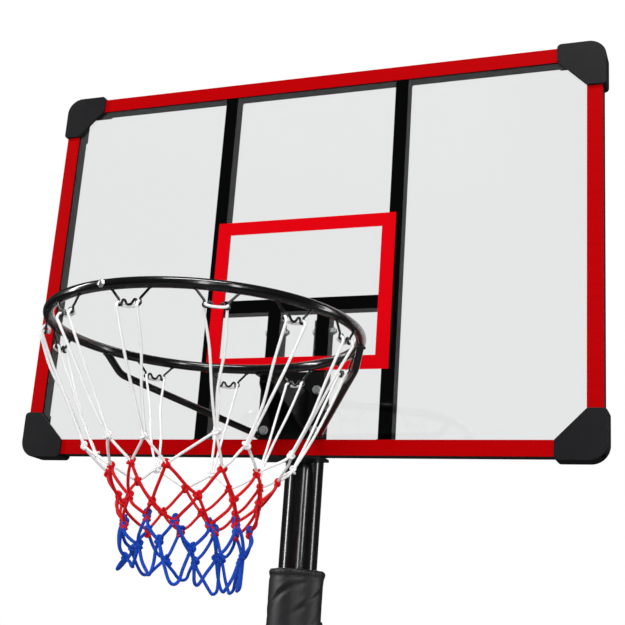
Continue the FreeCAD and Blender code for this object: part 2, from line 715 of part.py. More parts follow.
knob = cut(rod("knob_radius", "knob_length", "0", KNOB_Y, LOCK_Z, ALONG_Y), *grips,
           rod("lock_pin", "7", "0", f"({KNOB_Y} - 1)", LOCK_Z, ALONG_Y))
keep("lock_knob", knob)

# The spring fills the chamber behind the pin's collar, when the collar is drawn right back.
COLLAR_AND_PLAY = 3.5
HOUSING_ENDS = 7
spring_wire = size("spring_wire")
spring_play = 0.3
spring_room = size("housing_length") - HOUSING_ENDS - COLLAR_AND_PLAY - size("lock_travel")
spring_start = size("sleeve_radius") + 3 + COLLAR_AND_PLAY + size("lock_travel")
coil_radius = size("housing_radius") - 3 - 2
coil = Part.makeLongHelix(3 * spring_wire, spring_room - 2 * (spring_wire + spring_play), coil_radius)
section = Part.makeCircle(spring_wire, Vector(coil_radius, 0, 0), Vector(0, 1, 0))
spring = Part.Wire(coil).makePipeShell([Part.Wire(section)], True, True)
spring.Placement = Placement(Vector(0, spring_start + spring_wire + spring_play,
                                    board_foot - size("middle_top_gap") - size("lock_drop")), ALONG_Y)
keep("lock_spring", feature(spring))

# ---------------------------------------------------------------- pad round the middle pole

PAD_TOP = f"({MIDDLE_TOP} + pad_above)"
pad = pipe("pad_radius", "(sleeve_radius + 0.3)", "pad_length", "0", "0", f"({PAD_TOP} - pad_length)")
keep("pole_pad", cut(pad, rod("pad_eyelet", "2 * pad_radius", "0", "0", LOCK_Z, ALONG_Y)))

# ---------------------------------------------------------------- struts

COLLAR_FOOT = f"({MIDDLE_FOOT} - collar_below)"
EAR_X = "(sleeve_radius + 1)"
EAR_THICK = "tab_thick"
EAR_REACH = "(sleeve_radius + collar_wall + strut_tab)"
STRUT_BOLT_Y = "sleeve_radius"
STRUT_BOLT_Z = f"({COLLAR_FOOT} + collar_tall / 2)"
band = pipe("(sleeve_radius + collar_wall)", "sleeve_radius", "collar_tall", "0", "0", COLLAR_FOOT)
ears = [box((edge, EAR_THICK), ("0", EAR_REACH), (COLLAR_FOOT, "collar_tall"))
        for edge in (EAR_X, f"(0 - {EAR_X} - {EAR_THICK})")]
ear_holes = bolt_hole("x", "(0 - 3 * sleeve_radius)", STRUT_BOLT_Y, STRUT_BOLT_Z, "6 * sleeve_radius")
keep("strut_collar", cut(fuse(band, *ears), ear_holes))

tab = size("tab_thick")
tab_x = size("sleeve_radius") + 1 + tab
tank_top = size("tank_height")
middle_foot = board_foot - size("middle_top_gap") - size("middle_length")
collar_middle = middle_foot - size("collar_below") + size("collar_tall") / 2
upper_end = Vector(tab_x + tab / 2, size("sleeve_radius"), collar_middle)
lower_end = Vector(size("strut_foot_x"), size("strut_foot_y"), tank_top + tab)
lean = (lower_end - upper_end).normalize()
tube_start = upper_end + lean * (size("strut_tab") + 14)
tube_length = (lower_end - tube_start).Length
strut_r = size("strut_radius")
hinge_disc = Part.makeCylinder(size("strut_tab"), tab, Vector(tab_x, upper_end.y, upper_end.z), Vector(1, 0, 0))
neck_pin = Part.makeCylinder(tab / 2 - 0.2, 2 * size("strut_tab"), upper_end + lean * 12, lean)
plug = Part.makeCone(tab / 2, strut_r, size("strut_tab"), tube_start - lean * size("strut_tab"), lean)
shaft = Part.makeCylinder(strut_r, tube_length, tube_start, lean)
foot_box = Part.makeBox(2 * size("strut_tab"), 80, tab,
                        Vector(lower_end.x - size("strut_tab"), lower_end.y - 25, tank_top))
ear_side = Part.makeBox(CLEAR, 2 * CLEAR, 2 * CLEAR, Vector(tab_x - CLEAR, -CLEAR, upper_end.z - CLEAR))
below_top = Part.makeBox(2 * CLEAR, 4 * CLEAR, CLEAR / 2, Vector(0, 0, tank_top - CLEAR / 2))
foot_bolt = Vector(lower_end.x, lower_end.y + size("foot_bolt_back"), tank_top)
hole_r = size("bolt_radius") + size("bolt_gap")
strut = hinge_disc.fuse([neck_pin, plug, shaft, foot_box]).cut([ear_side, below_top])
strut = strut.cut([Part.makeCylinder(hole_r, 40, foot_bolt - Vector(0, 0, 20)),
                   Part.makeCylinder(hole_r, 60, Vector(tab_x - 30, upper_end.y, upper_end.z), Vector(1, 0, 0))])
strut = strut.removeSplitter()
keep("strut_right", feature(strut))
keep("strut_left", feature(strut.mirror(Vector(), Vector(1, 0, 0))))

STRUT_GRIP = f"({EAR_THICK} + tab_thick)"
left_strut = f"(0 - {EAR_X} - {EAR_THICK} - tab_thick)"
keep("strut_bolts", group([bolt("x", x, STRUT_BOLT_Y, STRUT_BOLT_Z, STRUT_GRIP) for x in (left_strut, EAR_X)]))
keep("strut_nuts", group([nut("x", x, STRUT_BOLT_Y, STRUT_BOLT_Z)
                          for x in (f"(0 - {EAR_X})", f"({EAR_X} + {EAR_THICK} + tab_thick)")]))

FOOT_BOLT_Y = "(strut_foot_y + foot_bolt_back)"
foot_bolts = []
foot_nuts = []
for x in ("strut_foot_x", "(0 - strut_foot_x)"):
    head = hexagon("head_thick", x, FOOT_BOLT_Y, "(tank_height + tab_thick)", ALONG_Z)
    shank = rod("bolt_radius", "tab_thick + tank_wall + nut_thick + bolt_tail + 1", x, FOOT_BOLT_Y,
                "(tank_height - tank_wall - nut_thick - bolt_tail)")
    foot_bolts.append(fuse(head, shank))
    foot_nuts.append(nut("z", x, FOOT_BOLT_Y, "(tank_height - tank_wall - nut_thick)"))
keep("foot_bolts", group(foot_bolts))
keep("foot_nuts", group(foot_nuts))

# ---------------------------------------------------------------- base tank

TANK_BACK = "(tank_length - tank_front)"


def tank_body(inset, foot, top, corner, edge):
    """The tank's rounded, tapering block, or the hollow inside it."""
    half = f"(tank_width / 2 - {inset})"
    low = f"({inset} - tank_front)"
    high = f"({TANK_BACK} - {inset})"
    points = ((f"0 - {half}", low), (half, low), (half, high), (f"0 - {half}", high))
    body = outline_body("XY_Plane", points, f"{top} - {foot}", "0", "0", foot, draft="0 - tank_draft")
    round_edges(body, corner, lambda middle, heading: abs(heading.z) > 0.5)
    lid = max(vertex.Point.z for vertex in body.Tip.Shape.Vertexes)
    return round_edges(body, edge, lambda middle, heading: middle.z > lid - 1)


tank_outside = tank_body("0", "0", "tank_height", "tank_corner", "tank_edge")
tank_inside = tank_body("tank_wall", "tank_wall", "(tank_height - tank_wall)", "(tank_corner - tank_wall)",
                        "(tank_edge - tank_wall)")

WELL_RADIUS = "(sleeve_radius + 0.3)"
SLOT_BACK = "(axle_y + wheel_radius + wheel_gap)"
SLOT_HALF = "(wheel_width / 2 + wheel_gap)"


def wheel_slot(side, grown):
    """The slot that a wheel turns in, or the same slot with the tank's wall round it."""
    low = f"({side} * wheel_spread / 2 - {SLOT_HALF} - {grown})"
    return box((low, f"2 * ({SLOT_HALF} + {grown})"), ("(0 - tank_front - 20)",
                                                     f"{SLOT_BACK} + tank_front + 20 + {grown}"),
               ("(0 - 20)", "tank_height + 40"))


tunnel_wall = rod("axle_radius + tank_wall", "tank_width", "(0 - tank_width / 2)", "axle_y", "axle_height",
                  ALONG_X)
well_wall = rod(f"{WELL_RADIUS} + well_wall", "tank_height", "0", "0", "0")
neck_wall = rod("neck_bore + tank_wall", "tank_height", "0", "filler_y", "tank_height / 2")
cavity = cut(tank_inside, wheel_slot(-1, "tank_wall"), wheel_slot(1, "tank_wall"), tunnel_wall, well_wall)
collar = rod(f"{WELL_RADIUS} + 3 * well_wall", "well_collar + tank_wall", "0", "0", "(tank_height - tank_wall)")
filler_neck = rod("neck_radius", "neck_height + tank_wall", "0", "filler_y", "(tank_height - tank_wall)")
ribs = []
for x in ("0 - 1.5 * rib_pitch", "0 - 0.5 * rib_pitch", "0.5 * rib_pitch", "1.5 * rib_pitch"):
    half = "rib_width / 2"
    outline = ((f"{x} - {half}", "rib_start"), (f"{x} + {half}", "rib_start"), (f"{x} + {half}", "rib_end"),
               (f"{x} - {half}", "rib_end"))
    rib = outline_body("XY_Plane", outline, "rib_height + 1", "0", "0", "(tank_height - 1)")
    round_edges(rib, "rib_width / 3", lambda middle, heading: abs(heading.z) > 0.9)
    ribs.append(round_edges(rib, "rib_height / 2", lambda middle, heading: middle.z > size("rib_height")))
shell = fuse(cut(tank_outside, cavity), collar, filler_neck, *ribs)
bolt_bores = [bolt_hole("z", x, FOOT_BOLT_Y, "(tank_height - 30)", "60")
              for x in ("strut_foot_x", "(0 - strut_foot_x)")]
keep("base_tank", cut(shell, wheel_slot(-1, "0"), wheel_slot(1, "0"), *bolt_bores,
                      rod("axle_radius + axle_gap", "2 * tank_width", "(0 - tank_width)", "axle_y",
                          "axle_height", ALONG_X),
                      rod(WELL_RADIUS, "2 * tank_height", "0", "0", "pole_floor"),
                      rod("neck_bore", "tank_height", "0", "filler_y", "(tank_height - 2 * tank_wall)")))

CAP_FOOT = "(tank_height + 1)"
cap_grips = []
for number in range(16):
    turn = math.radians(22.5 * number)
    cap_grips.append(rod("2.5", "cap_height + 2", f"(cap_radius + 0.6) * {math.cos(turn):.6f}",
                         f"filler_y + (cap_radius + 0.6) * {math.sin(turn):.6f}", f"{CAP_FOOT} - 1"))
cap_lid = rod("cap_radius", "cap_height", "0", "filler_y", CAP_FOOT)
cap_room = rod("neck_radius + 0.4", "neck_height + 0.5", "0", "filler_y", f"{CAP_FOOT} - 1")
keep("filler_cap", cut(cap_lid, cap_room, *cap_grips))

# ---------------------------------------------------------------- wheels

keep("axle", rod("axle_radius", "2 * axle_end", "(0 - axle_end)", "axle_y", "axle_height", ALONG_X))
for name, side in (("wheel_left", -1), ("wheel_right", 1)):
    middle = f"({side} * wheel_spread / 2)"
    low = f"({middle} - wheel_width / 2)"
    tyre = rod("wheel_radius", "wheel_width", low, "axle_y", "axle_height", ALONG_X)
    tools = [rod("axle_radius + axle_gap", "wheel_width + 2", f"({low} - 1)", "axle_y", "axle_height", ALONG_X)]
    for start in (f"({low} - 1)", f"({middle} + wheel_width / 4)"):
        dish = rod("0.74 * wheel_radius", "wheel_width / 4 + 1", start, "axle_y", "axle_height", ALONG_X)
        hub = rod("0.3 * wheel_radius", "wheel_width / 4 + 3", f"({start} - 1)", "axle_y", "axle_height",
                  ALONG_X)
        tools.append(cut(dish, hub))
    for number in range(6):
        turn = math.radians(60 * number)
        tools.append(rod("0.13 * wheel_radius", "2 * wheel_width", f"({middle} - wheel_width)",
                         f"axle_y + 0.52 * wheel_radius * {math.cos(turn):.6f}",
                         f"axle_height + 0.52 * wheel_radius * {math.sin(turn):.6f}", ALONG_X))
    keep(name, cut(tyre, *tools))

axle_caps = []
for start, bore in (("axle_end - 4", "axle_end - 5"), ("0 - axle_end - 3", "0 - axle_end")):
    cap = rod("axle_radius + 5", "7", start, "axle_y", "axle_height", ALONG_X)
    axle_caps.append(cut(cap, rod("axle_radius", "5", bore, "axle_y", "axle_height", ALONG_X)))
keep("axle_caps", group(axle_caps))

# ---------------------------------------------------------------- check, then write the files

doc.recompute()
for item in doc.Objects:
    if "Invalid" in item.State or "Error" in item.State:
        raise RuntimeError(f"{item.Label} ({item.Name}) did not compute")
for item in nodes:
    if item.Shape.isNull() or not item.Shape.isValid() or not item.Shape.Solids:
        raise RuntimeError(f"{item.Label} has no valid shape")
os.makedirs("parts", exist_ok=True)
for item in nodes:
    item.Shape.exportStep(f"parts/{item.Label}.step")
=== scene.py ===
import math
import random

import bmesh
import bpy
from mathutils import Matrix, Vector
from mathutils.bvhtree import BVHTree


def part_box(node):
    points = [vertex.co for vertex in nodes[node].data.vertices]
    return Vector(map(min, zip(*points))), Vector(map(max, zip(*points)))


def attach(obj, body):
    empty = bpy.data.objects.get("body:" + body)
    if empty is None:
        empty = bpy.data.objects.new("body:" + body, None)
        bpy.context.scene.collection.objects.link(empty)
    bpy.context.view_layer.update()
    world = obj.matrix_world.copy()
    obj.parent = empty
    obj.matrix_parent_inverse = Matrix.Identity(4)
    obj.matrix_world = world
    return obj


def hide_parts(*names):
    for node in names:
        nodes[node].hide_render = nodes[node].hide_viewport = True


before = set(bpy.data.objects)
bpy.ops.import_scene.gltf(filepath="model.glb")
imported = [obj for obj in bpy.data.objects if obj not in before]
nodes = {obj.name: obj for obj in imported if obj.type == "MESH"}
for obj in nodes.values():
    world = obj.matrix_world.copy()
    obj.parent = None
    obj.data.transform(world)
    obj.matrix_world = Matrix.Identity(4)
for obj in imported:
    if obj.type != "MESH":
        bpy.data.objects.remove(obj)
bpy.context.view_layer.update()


# ---------------------------------------------------------------- camera
# A viewer who stands under the front right of the hoop and looks up at the board.

EYE = Vector((0.7697, -2.0000, 1.8316))
YAW = math.radians(21.2)
PITCH = math.radians(16.55)
ROLL = math.radians(4.05)

ahead = Vector((-math.sin(YAW) * math.cos(PITCH), math.cos(YAW) * math.cos(PITCH), math.sin(PITCH)))
level = Vector((math.cos(YAW), math.sin(YAW), 0))
upright = level.cross(ahead)
right = math.cos(ROLL) * level + math.sin(ROLL) * upright
up = math.cos(ROLL) * upright - math.sin(ROLL) * level

camera = bpy.data.objects.new("camera", bpy.data.cameras.new("camera"))
camera.data.lens = 67.16
camera.data.sensor_width = 36
camera.data.clip_start = 0.05
camera.data.clip_end = 200
camera.matrix_world = Matrix.Translation(EYE) @ Matrix((right, up, -ahead)).transposed().to_4x4()
bpy.context.collection.objects.link(camera)
bpy.context.scene.camera = camera


# ---------------------------------------------------------------- studio
# A pale floor under pale air, tall soft lights at the sides and in front, and one overhead.

FLOOR_SIZE = 80.0
FLOOR_PALE = "#F2F2F0"
FLOOR_GLOW = 0.8
AIR_SEEN = 1.0
AIR_GLOW = 0.05
SOFTBOXES = (
    # where it stands, what it faces, width, height, watts, and whether gloss shows it
    ((-3.3, -1.3, 3.2), (0, -0.2, 2.1), 0.35, 2.8, 80, True),
    ((2.6, -3.2, 3.6), (0, -0.2, 2.1), 0.35, 2.6, 45, True),
    ((0.3, -2.2, 6.0), (0, -0.3, 2.3), 2.2, 0.5, 120, True),
    ((3.2, 0.9, 2.2), (0, 0, 1.8), 0.4, 3.0, 40, True),
    ((-1.5, 3.4, 5.0), (0, 0, 1.8), 2.4, 1.2, 60, True),
    ((1.0, -2.9, 2.9), (0, -0.2, 2.1), 0.3, 2.2, 24, True),
    ((0.4, -4.5, 1.3), (0, -0.3, 2.2), 2.5, 2.5, 105, False),
)


def paint(code):
    """An sRGB hex colour as linear red, green, blue and alpha."""
    parts = [int(code[i:i + 2], 16) / 255 for i in (1, 3, 5)]
    return (*(c / 12.92 if c <= 0.04045 else ((c + 0.055) / 1.055) ** 2.4 for c in parts), 1.0)


def add(tree, kind, settings=(), **inputs):
    """A node of that kind. Each input is a value or the socket that feeds it, under its name or number."""
    made = tree.nodes.new(kind)
    for name, value in dict(settings).items():
        setattr(made, name, value)
    for name, value in inputs.items():
        socket = made.inputs[int(name[1:])] if name[1:].isdigit() else made.inputs[name.replace("_", " ")]
        if isinstance(value, bpy.types.NodeSocket):
            tree.links.new(value, socket)
        else:
            socket.default_value = value
    return made


def surface(name, **sockets):
    """A new material with one Principled shader, whose own sockets are set, and its Object coordinates."""
    made = bpy.data.materials.new(name)
    made.use_nodes = True
    tree = made.node_tree
    tree.nodes.clear()
    shader = add(tree, "ShaderNodeBsdfPrincipled", **sockets)
    add(tree, "ShaderNodeOutputMaterial", Surface=shader.outputs[0])
    return made, tree, shader, add(tree, "ShaderNodeTexCoord").outputs["Object"]


def dress(material, *names):
    """Give CAD nodes a finish."""
    for name in names:
        nodes[name].data.materials.clear()
        nodes[name].data.materials.append(material)


# Painted concrete: pale and matte, with a faint cloudiness a hand wide. Its own glow keeps it as pale far off
# as under the lights, and is left out of what it throws back, so that the black paint stays black underneath.
pale_floor, tree, shader, place = surface("painted_floor", Roughness=0.62, Specular_IOR_Level=0.1)
clouds = add(tree, "ShaderNodeTexNoise", Vector=place, Scale=1 / 0.12, Detail=3.0)
tone = add(tree, "ShaderNodeMix", {"data_type": "RGBA"}, Factor=clouds.outputs[0],
           _6=paint("#7C7C7A"), _7=paint("#747472"))
tree.links.new(tone.outputs[2], shader.inputs["Base Color"])
path = add(tree, "ShaderNodeLightPath")
seen = add(tree, "ShaderNodeMath", {"operation": "MAXIMUM"},
           _0=path.outputs["Is Camera Ray"], _1=path.outputs["Is Transmission Ray"])
glow = add(tree, "ShaderNodeMath", {"operation": "MULTIPLY"}, _0=seen.outputs[0], _1=FLOOR_GLOW)
shader.inputs["Emission Color"].default_value = paint(FLOOR_PALE)
tree.links.new(glow.outputs[0], shader.inputs["Emission Strength"])

mesh = bpy.data.meshes.new("floor")
half = FLOOR_SIZE / 2
mesh.from_pydata([(-half, -half, 0), (half, -half, 0), (half, half, 0), (-half, half, 0)], [], [(0, 1, 2, 3)])
mesh.materials.append(pale_floor)
floor = bpy.data.objects.new("floor", mesh)
bpy.context.collection.objects.link(floor)

# The air is white where it is seen, straight on or through the panel, and dimmer where it lights the hoop.
world = bpy.data.worlds.new("air")
bpy.context.scene.world = world
world.use_nodes = True
tree = world.node_tree
tree.nodes.clear()
path = add(tree, "ShaderNodeLightPath")
seen = add(tree, "ShaderNodeMath", {"operation": "MAXIMUM"},
           _0=path.outputs["Is Camera Ray"], _1=path.outputs["Is Transmission Ray"])
strength = add(tree, "ShaderNodeMapRange", Value=seen.outputs[0], To_Min=AIR_GLOW, To_Max=AIR_SEEN)
air = add(tree, "ShaderNodeBackground", Strength=strength.outputs[0])
air.inputs["Color"].default_value = (1, 1, 1, 1)
add(tree, "ShaderNodeOutputWorld", Surface=air.outputs[0])

for number, (where, faces, width, height, watts, glossy) in enumerate(SOFTBOXES):
    light = bpy.data.lights.new(f"softbox_{number}", "AREA")
    light.shape = "RECTANGLE"
    light.size, light.size_y, light.energy = width, height, watts
    box = bpy.data.objects.new(light.name, light)
    aim = (Vector(faces) - Vector(where)).to_track_quat("-Z", "Y")
    box.matrix_world = Matrix.Translation(where) @ aim.to_matrix().to_4x4()
    bpy.context.collection.objects.link(box)
    box.visible_camera = False
    box.visible_transmission = False
    box.visible_glossy = glossy

bpy.context.scene.view_settings.view_transform = "Standard"


# ---------------------------------------------------------------- clear panel
# A 4 mm sheet of cast polycarbonate, cut to size, held on the frame from behind.

# Cast polycarbonate: clear and glossy, with a grey cast and a very faint ripple that softens reflections.
clear_sheet, tree, shader, place = surface(
    "cast_polycarbonate", Roughness=0.04, IOR=1.58, Transmission_Weight=1.0)
shader.inputs["Base Color"].default_value = paint("#EAEBEB")
ripple = add(tree, "ShaderNodeTexNoise", Vector=place, Scale=1 / 0.09, Detail=1.0)
bump = add(tree, "ShaderNodeBump", Height=ripple.outputs[0], Strength=0.02, Distance=0.001)
tree.links.new(bump.outputs[0], shader.inputs["Normal"])
dress(clear_sheet, "panel")


# ---------------------------------------------------------------- printed border and target
# Two coats of red screen ink on the front of the panel, dried to a satin skin that passes a little light.

# Screen ink: strong clear red, slightly uneven where the squeegee passed, satin.
border_ink, tree, shader, place = surface("red_screen_ink", Roughness=0.45, Specular_IOR_Level=0.02)
drag = add(tree, "ShaderNodeMapping", Vector=place)
drag.inputs["Scale"].default_value = (1 / 0.2, 1, 1 / 0.004)
streaks = add(tree, "ShaderNodeTexNoise", Vector=drag.outputs[0], Scale=1.0, Detail=4.0)
ink = add(tree, "ShaderNodeMix", {"data_type": "RGBA"}, Factor=streaks.outputs[0],
          _6=paint("#960002"), _7=paint("#A40004"))
tree.links.new(ink.outputs[2], shader.inputs["Base Color"])
skin = add(tree, "ShaderNodeTexNoise", Vector=place, Scale=1 / 0.003, Detail=2.0)
bump = add(tree, "ShaderNodeBump", Height=skin.outputs[0], Strength=0.05, Distance=0.0003)
tree.links.new(bump.outputs[0], shader.inputs["Normal"])
dress(border_ink, "border_film")

# A single thinner coat: brighter over the white air than over the black bars behind it.
target_ink, tree, shader, place = surface(
    "thin_red_screen_ink", Roughness=0.4, IOR=1.02, Specular_IOR_Level=0.08, Transmission_Weight=0.4)
drag = add(tree, "ShaderNodeMapping", Vector=place)
drag.inputs["Scale"].default_value = (1 / 0.2, 1, 1 / 0.004)
streaks = add(tree, "ShaderNodeTexNoise", Vector=drag.outputs[0], Scale=1.0, Detail=4.0)
ink = add(tree, "ShaderNodeMix", {"data_type": "RGBA"}, Factor=streaks.outputs[0],
          _6=paint("#EC0510"), _7=paint("#F40818"))
tree.links.new(ink.outputs[2], shader.inputs["Base Color"])
dress(target_ink, "target_film")


# ---------------------------------------------------------------- frame behind the panel
# Square steel tubes, welded into a frame and sprayed with black powder.

# Powder coat on steel: black with a satin gloss and the fine orange peel that baked powder leaves.
# The peel is about 1 mm wide; it is drawn 2.5 mm wide, so that it shows.
powder_coat, tree, shader, place = surface("black_powder_coat", IOR=1.5)
peel = add(tree, "ShaderNodeTexNoise", Vector=place, Scale=1 / 0.0025, Detail=2.0)
bump = add(tree, "ShaderNodeBump", Height=peel.outputs[0], Strength=0.12, Distance=0.0004)
tree.links.new(bump.outputs[0], shader.inputs["Normal"])
drift = add(tree, "ShaderNodeTexNoise", Vector=place, Scale=1 / 0.06, Detail=4.0)
sheen = add(tree, "ShaderNodeMapRange", Value=drift.outputs[0], To_Min=0.26, To_Max=0.42)
tree.links.new(sheen.outputs[0], shader.inputs["Roughness"])
black = add(tree, "ShaderNodeMix", {"data_type": "RGBA"}, Factor=drift.outputs[0],
            _6=paint("#08080A"), _7=paint("#141416"))
tree.links.new(black.outputs[2], shader.inputs["Base Color"])
dress(powder_coat, "frame_tube_top", "frame_tube_bottom", "frame_tube_left", "frame_tube_right",
      "upright_left", "upright_right", "cross_tube", "inner_upright_left", "inner_upright_right",
      "foot_plate", "pole_channel")


# ---------------------------------------------------------------- corner protectors
# Moulded caps of black polypropylene, pushed over the corners of the panel and the frame.

# Moulded polypropylene: charcoal black, matte, with its mould's fine spark grain (0.4 mm, drawn 1.2 mm).
corner_plastic, tree, shader, place = surface("moulded_polypropylene", IOR=1.49, Specular_IOR_Level=0.18)
grain = add(tree, "ShaderNodeTexNoise", Vector=place, Scale=1 / 0.0012, Detail=3.0)
bump = add(tree, "ShaderNodeBump", Height=grain.outputs[0], Strength=0.18, Distance=0.0004)
tree.links.new(bump.outputs[0], shader.inputs["Normal"])
scuff = add(tree, "ShaderNodeTexNoise", Vector=place, Scale=1 / 0.018, Detail=6.0, Roughness=0.7)
matte = add(tree, "ShaderNodeMapRange", Value=scuff.outputs[0], To_Min=0.38, To_Max=0.55)
tree.links.new(matte.outputs[0], shader.inputs["Roughness"])
black = add(tree, "ShaderNodeMix", {"data_type": "RGBA"}, Factor=scuff.outputs[0],
            _6=paint("#09090B"), _7=paint("#101013"))
tree.links.new(black.outputs[2], shader.inputs["Base Color"])
dress(corner_plastic, "corner_bottom_left", "corner_bottom_right", "corner_top_left", "corner_top_right")


# ---------------------------------------------------------------- rim, braces, bracket and poles
# Bent and welded steel, dipped in black enamel before it was put together.

# Stoving enamel: deep black and wet-looking, with a slow waviness (8 mm) that bends its highlights.
enamel, tree, shader, place = surface(
    "black_stoving_enamel", IOR=1.52, Specular_IOR_Level=0.4, Coat_Weight=0.4, Coat_Roughness=0.05)
waves = add(tree, "ShaderNodeTexNoise", Vector=place, Scale=1 / 0.008, Detail=2.0)
bump = add(tree, "ShaderNodeBump", Height=waves.outputs[0], Strength=0.06, Distance=0.0006)
tree.links.new(bump.outputs[0], shader.inputs["Normal"])
drift = add(tree, "ShaderNodeTexNoise", Vector=place, Scale=1 / 0.05, Detail=5.0)
gloss = add(tree, "ShaderNodeMapRange", Value=drift.outputs[0], To_Min=0.12, To_Max=0.26)
tree.links.new(gloss.outputs[0], shader.inputs["Roughness"])
black = add(tree, "ShaderNodeMix", {"data_type": "RGBA"}, Factor=drift.outputs[0],
            _6=paint("#050506"), _7=paint("#0C0C0E"))
tree.links.new(black.outputs[2], shader.inputs["Base Color"])
dress(enamel, "rim_ring", "net_hooks", "rim_brace_left", "rim_brace_right", "upper_pole", "middle_pole",
      "bottom_pole", "lock_housing", "strut_collar", "strut_left", "strut_right")

# Matt black primer on pressed steel: it takes the light evenly, a little paler where it was sprayed thin.
press_paint, tree, shader, place = surface("matt_black_paint", IOR=1.5, Specular_IOR_Level=0.14)
mist = add(tree, "ShaderNodeTexNoise", Vector=place, Scale=1 / 0.0015, Detail=3.0)
bump = add(tree, "ShaderNodeBump", Height=mist.outputs[0], Strength=0.1, Distance=0.0003)
tree.links.new(bump.outputs[0], shader.inputs["Normal"])
drift = add(tree, "ShaderNodeTexNoise", Vector=place, Scale=1 / 0.04, Detail=4.0)
matt = add(tree, "ShaderNodeMapRange", Value=drift.outputs[0], To_Min=0.3, To_Max=0.45)
tree.links.new(matt.outputs[0], shader.inputs["Roughness"])
black = add(tree, "ShaderNodeMix", {"data_type": "RGBA"}, Factor=drift.outputs[0],
            _6=paint("#060607"), _7=paint("#0C0C0D"))
tree.links.new(black.outputs[2], shader.inputs["Base Color"])
dress(press_paint, "rim_bracket", "rim_plate")


# ---------------------------------------------------------------- bolts, nuts, washers, screw and axle
# Cold-headed steel with rolled threads, plated with zinc so that it doesn't rust outdoors.

# Zinc plate: bright bluish silver metal, a little cloudy, with fine lines from tumbling.
zinc_plate, tree, shader, place = surface("bright_zinc_plate", Metallic=1.0)
cloud = add(tree, "ShaderNodeTexNoise", Vector=place, Scale=1 / 0.004, Detail=5.0)
silver = add(tree, "ShaderNodeMix", {"data_type": "RGBA"}, Factor=cloud.outputs[0],
             _6=paint("#D2D5D8"), _7=paint("#F0F1F2"))
tree.links.new(silver.outputs[2], shader.inputs["Base Color"])
bright = add(tree, "ShaderNodeMapRange", Value=cloud.outputs[0], To_Min=0.26, To_Max=0.44)
tree.links.new(bright.outputs[0], shader.inputs["Roughness"])
dress(zinc_plate, "rim_bolts", "rim_washers", "rim_nuts", "ring_screw", "channel_bolts", "channel_nuts",
      "pole_bolts", "pole_nuts", "strut_bolts", "strut_nuts", "foot_bolts", "foot_nuts", "axle", "lock_pin",
      "lock_spring")


# ---------------------------------------------------------------- bushes, caps and knob
# Injection-moulded nylon parts.

# Moulded nylon: black, between matte and gloss, with faint flow marks.
nylon, tree, shader, place = surface("moulded_nylon", IOR=1.53)
flow = add(tree, "ShaderNodeTexNoise", Vector=place, Scale=1 / 0.006, Detail=4.0)
bump = add(tree, "ShaderNodeBump", Height=flow.outputs[0], Strength=0.1, Distance=0.0003)
tree.links.new(bump.outputs[0], shader.inputs["Normal"])
matte = add(tree, "ShaderNodeMapRange", Value=flow.outputs[0], To_Min=0.34, To_Max=0.5)
tree.links.new(matte.outputs[0], shader.inputs["Roughness"])
black = add(tree, "ShaderNodeMix", {"data_type": "RGBA"}, Factor=flow.outputs[0],
            _6=paint("#131315"), _7=paint("#1D1D20"))
tree.links.new(black.outputs[2], shader.inputs["Base Color"])
dress(nylon, "pole_cap", "guide_bush", "collar_bush", "lock_knob", "filler_cap", "axle_caps")


# ---------------------------------------------------------------- base tank and wheels
# The tank is one blow-moulded shell of polyethylene; the wheels are moulded in two halves.

# Blown polyethylene: black, waxy and matte, with the sand-blasted grain of its mould (1 mm, drawn at 2.5 mm).
blown_plastic, tree, shader, place = surface("blown_polyethylene", IOR=1.51)
grain = add(tree, "ShaderNodeTexVoronoi", Vector=place, Scale=1 / 0.0025)
soft = add(tree, "ShaderNodeTexNoise", Vector=place, Scale=1 / 0.04, Detail=5.0)
bump = add(tree, "ShaderNodeBump", Height=grain.outputs[0], Strength=0.25, Distance=0.0006)
tree.links.new(bump.outputs[0], shader.inputs["Normal"])
matte = add(tree, "ShaderNodeMapRange", Value=soft.outputs[0], To_Min=0.45, To_Max=0.62)
tree.links.new(matte.outputs[0], shader.inputs["Roughness"])
black = add(tree, "ShaderNodeMix", {"data_type": "RGBA"}, Factor=soft.outputs[0],
            _6=paint("#141416"), _7=paint("#222225"))
tree.links.new(black.outputs[2], shader.inputs["Base Color"])
dress(blown_plastic, "base_tank")

# Moulded polypropylene: black and satin on the hub, dusty and rougher on the tread, where it rolls.
wheel_plastic, tree, shader, place = surface("moulded_wheel_plastic", IOR=1.49)
wheel_low, wheel_high = (Vector(corner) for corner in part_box("wheel_left"))
parts = add(tree, "ShaderNodeSeparateXYZ", Vector=place)
away = add(tree, "ShaderNodeCombineXYZ", Y=parts.outputs[1], Z=parts.outputs[2])
from_axle = add(tree, "ShaderNodeVectorMath", {"operation": "DISTANCE"}, _0=away.outputs[0])
from_axle.inputs[1].default_value = (0, (wheel_low.y + wheel_high.y) / 2, (wheel_low.z + wheel_high.z) / 2)
wheel_radius = (wheel_high.z - wheel_low.z) / 2
tread = add(tree, "ShaderNodeMapRange", Value=from_axle.outputs["Value"], From_Min=wheel_radius - 0.004,
            From_Max=wheel_radius - 0.001)
dust = add(tree, "ShaderNodeTexNoise", Vector=place, Scale=1 / 0.005, Detail=6.0)
dusty = add(tree, "ShaderNodeMath", {"operation": "MULTIPLY"}, _0=tread.outputs[0], _1=dust.outputs[0])
bump = add(tree, "ShaderNodeBump", Height=dust.outputs[0], Strength=0.2, Distance=0.0005)
tree.links.new(bump.outputs[0], shader.inputs["Normal"])
rough = add(tree, "ShaderNodeMapRange", Value=dusty.outputs[0], To_Min=0.36, To_Max=0.85)
tree.links.new(rough.outputs[0], shader.inputs["Roughness"])
black = add(tree, "ShaderNodeMix", {"data_type": "RGBA"}, Factor=dusty.outputs[0],
            _6=paint("#121214"), _7=paint("#4A4843"))
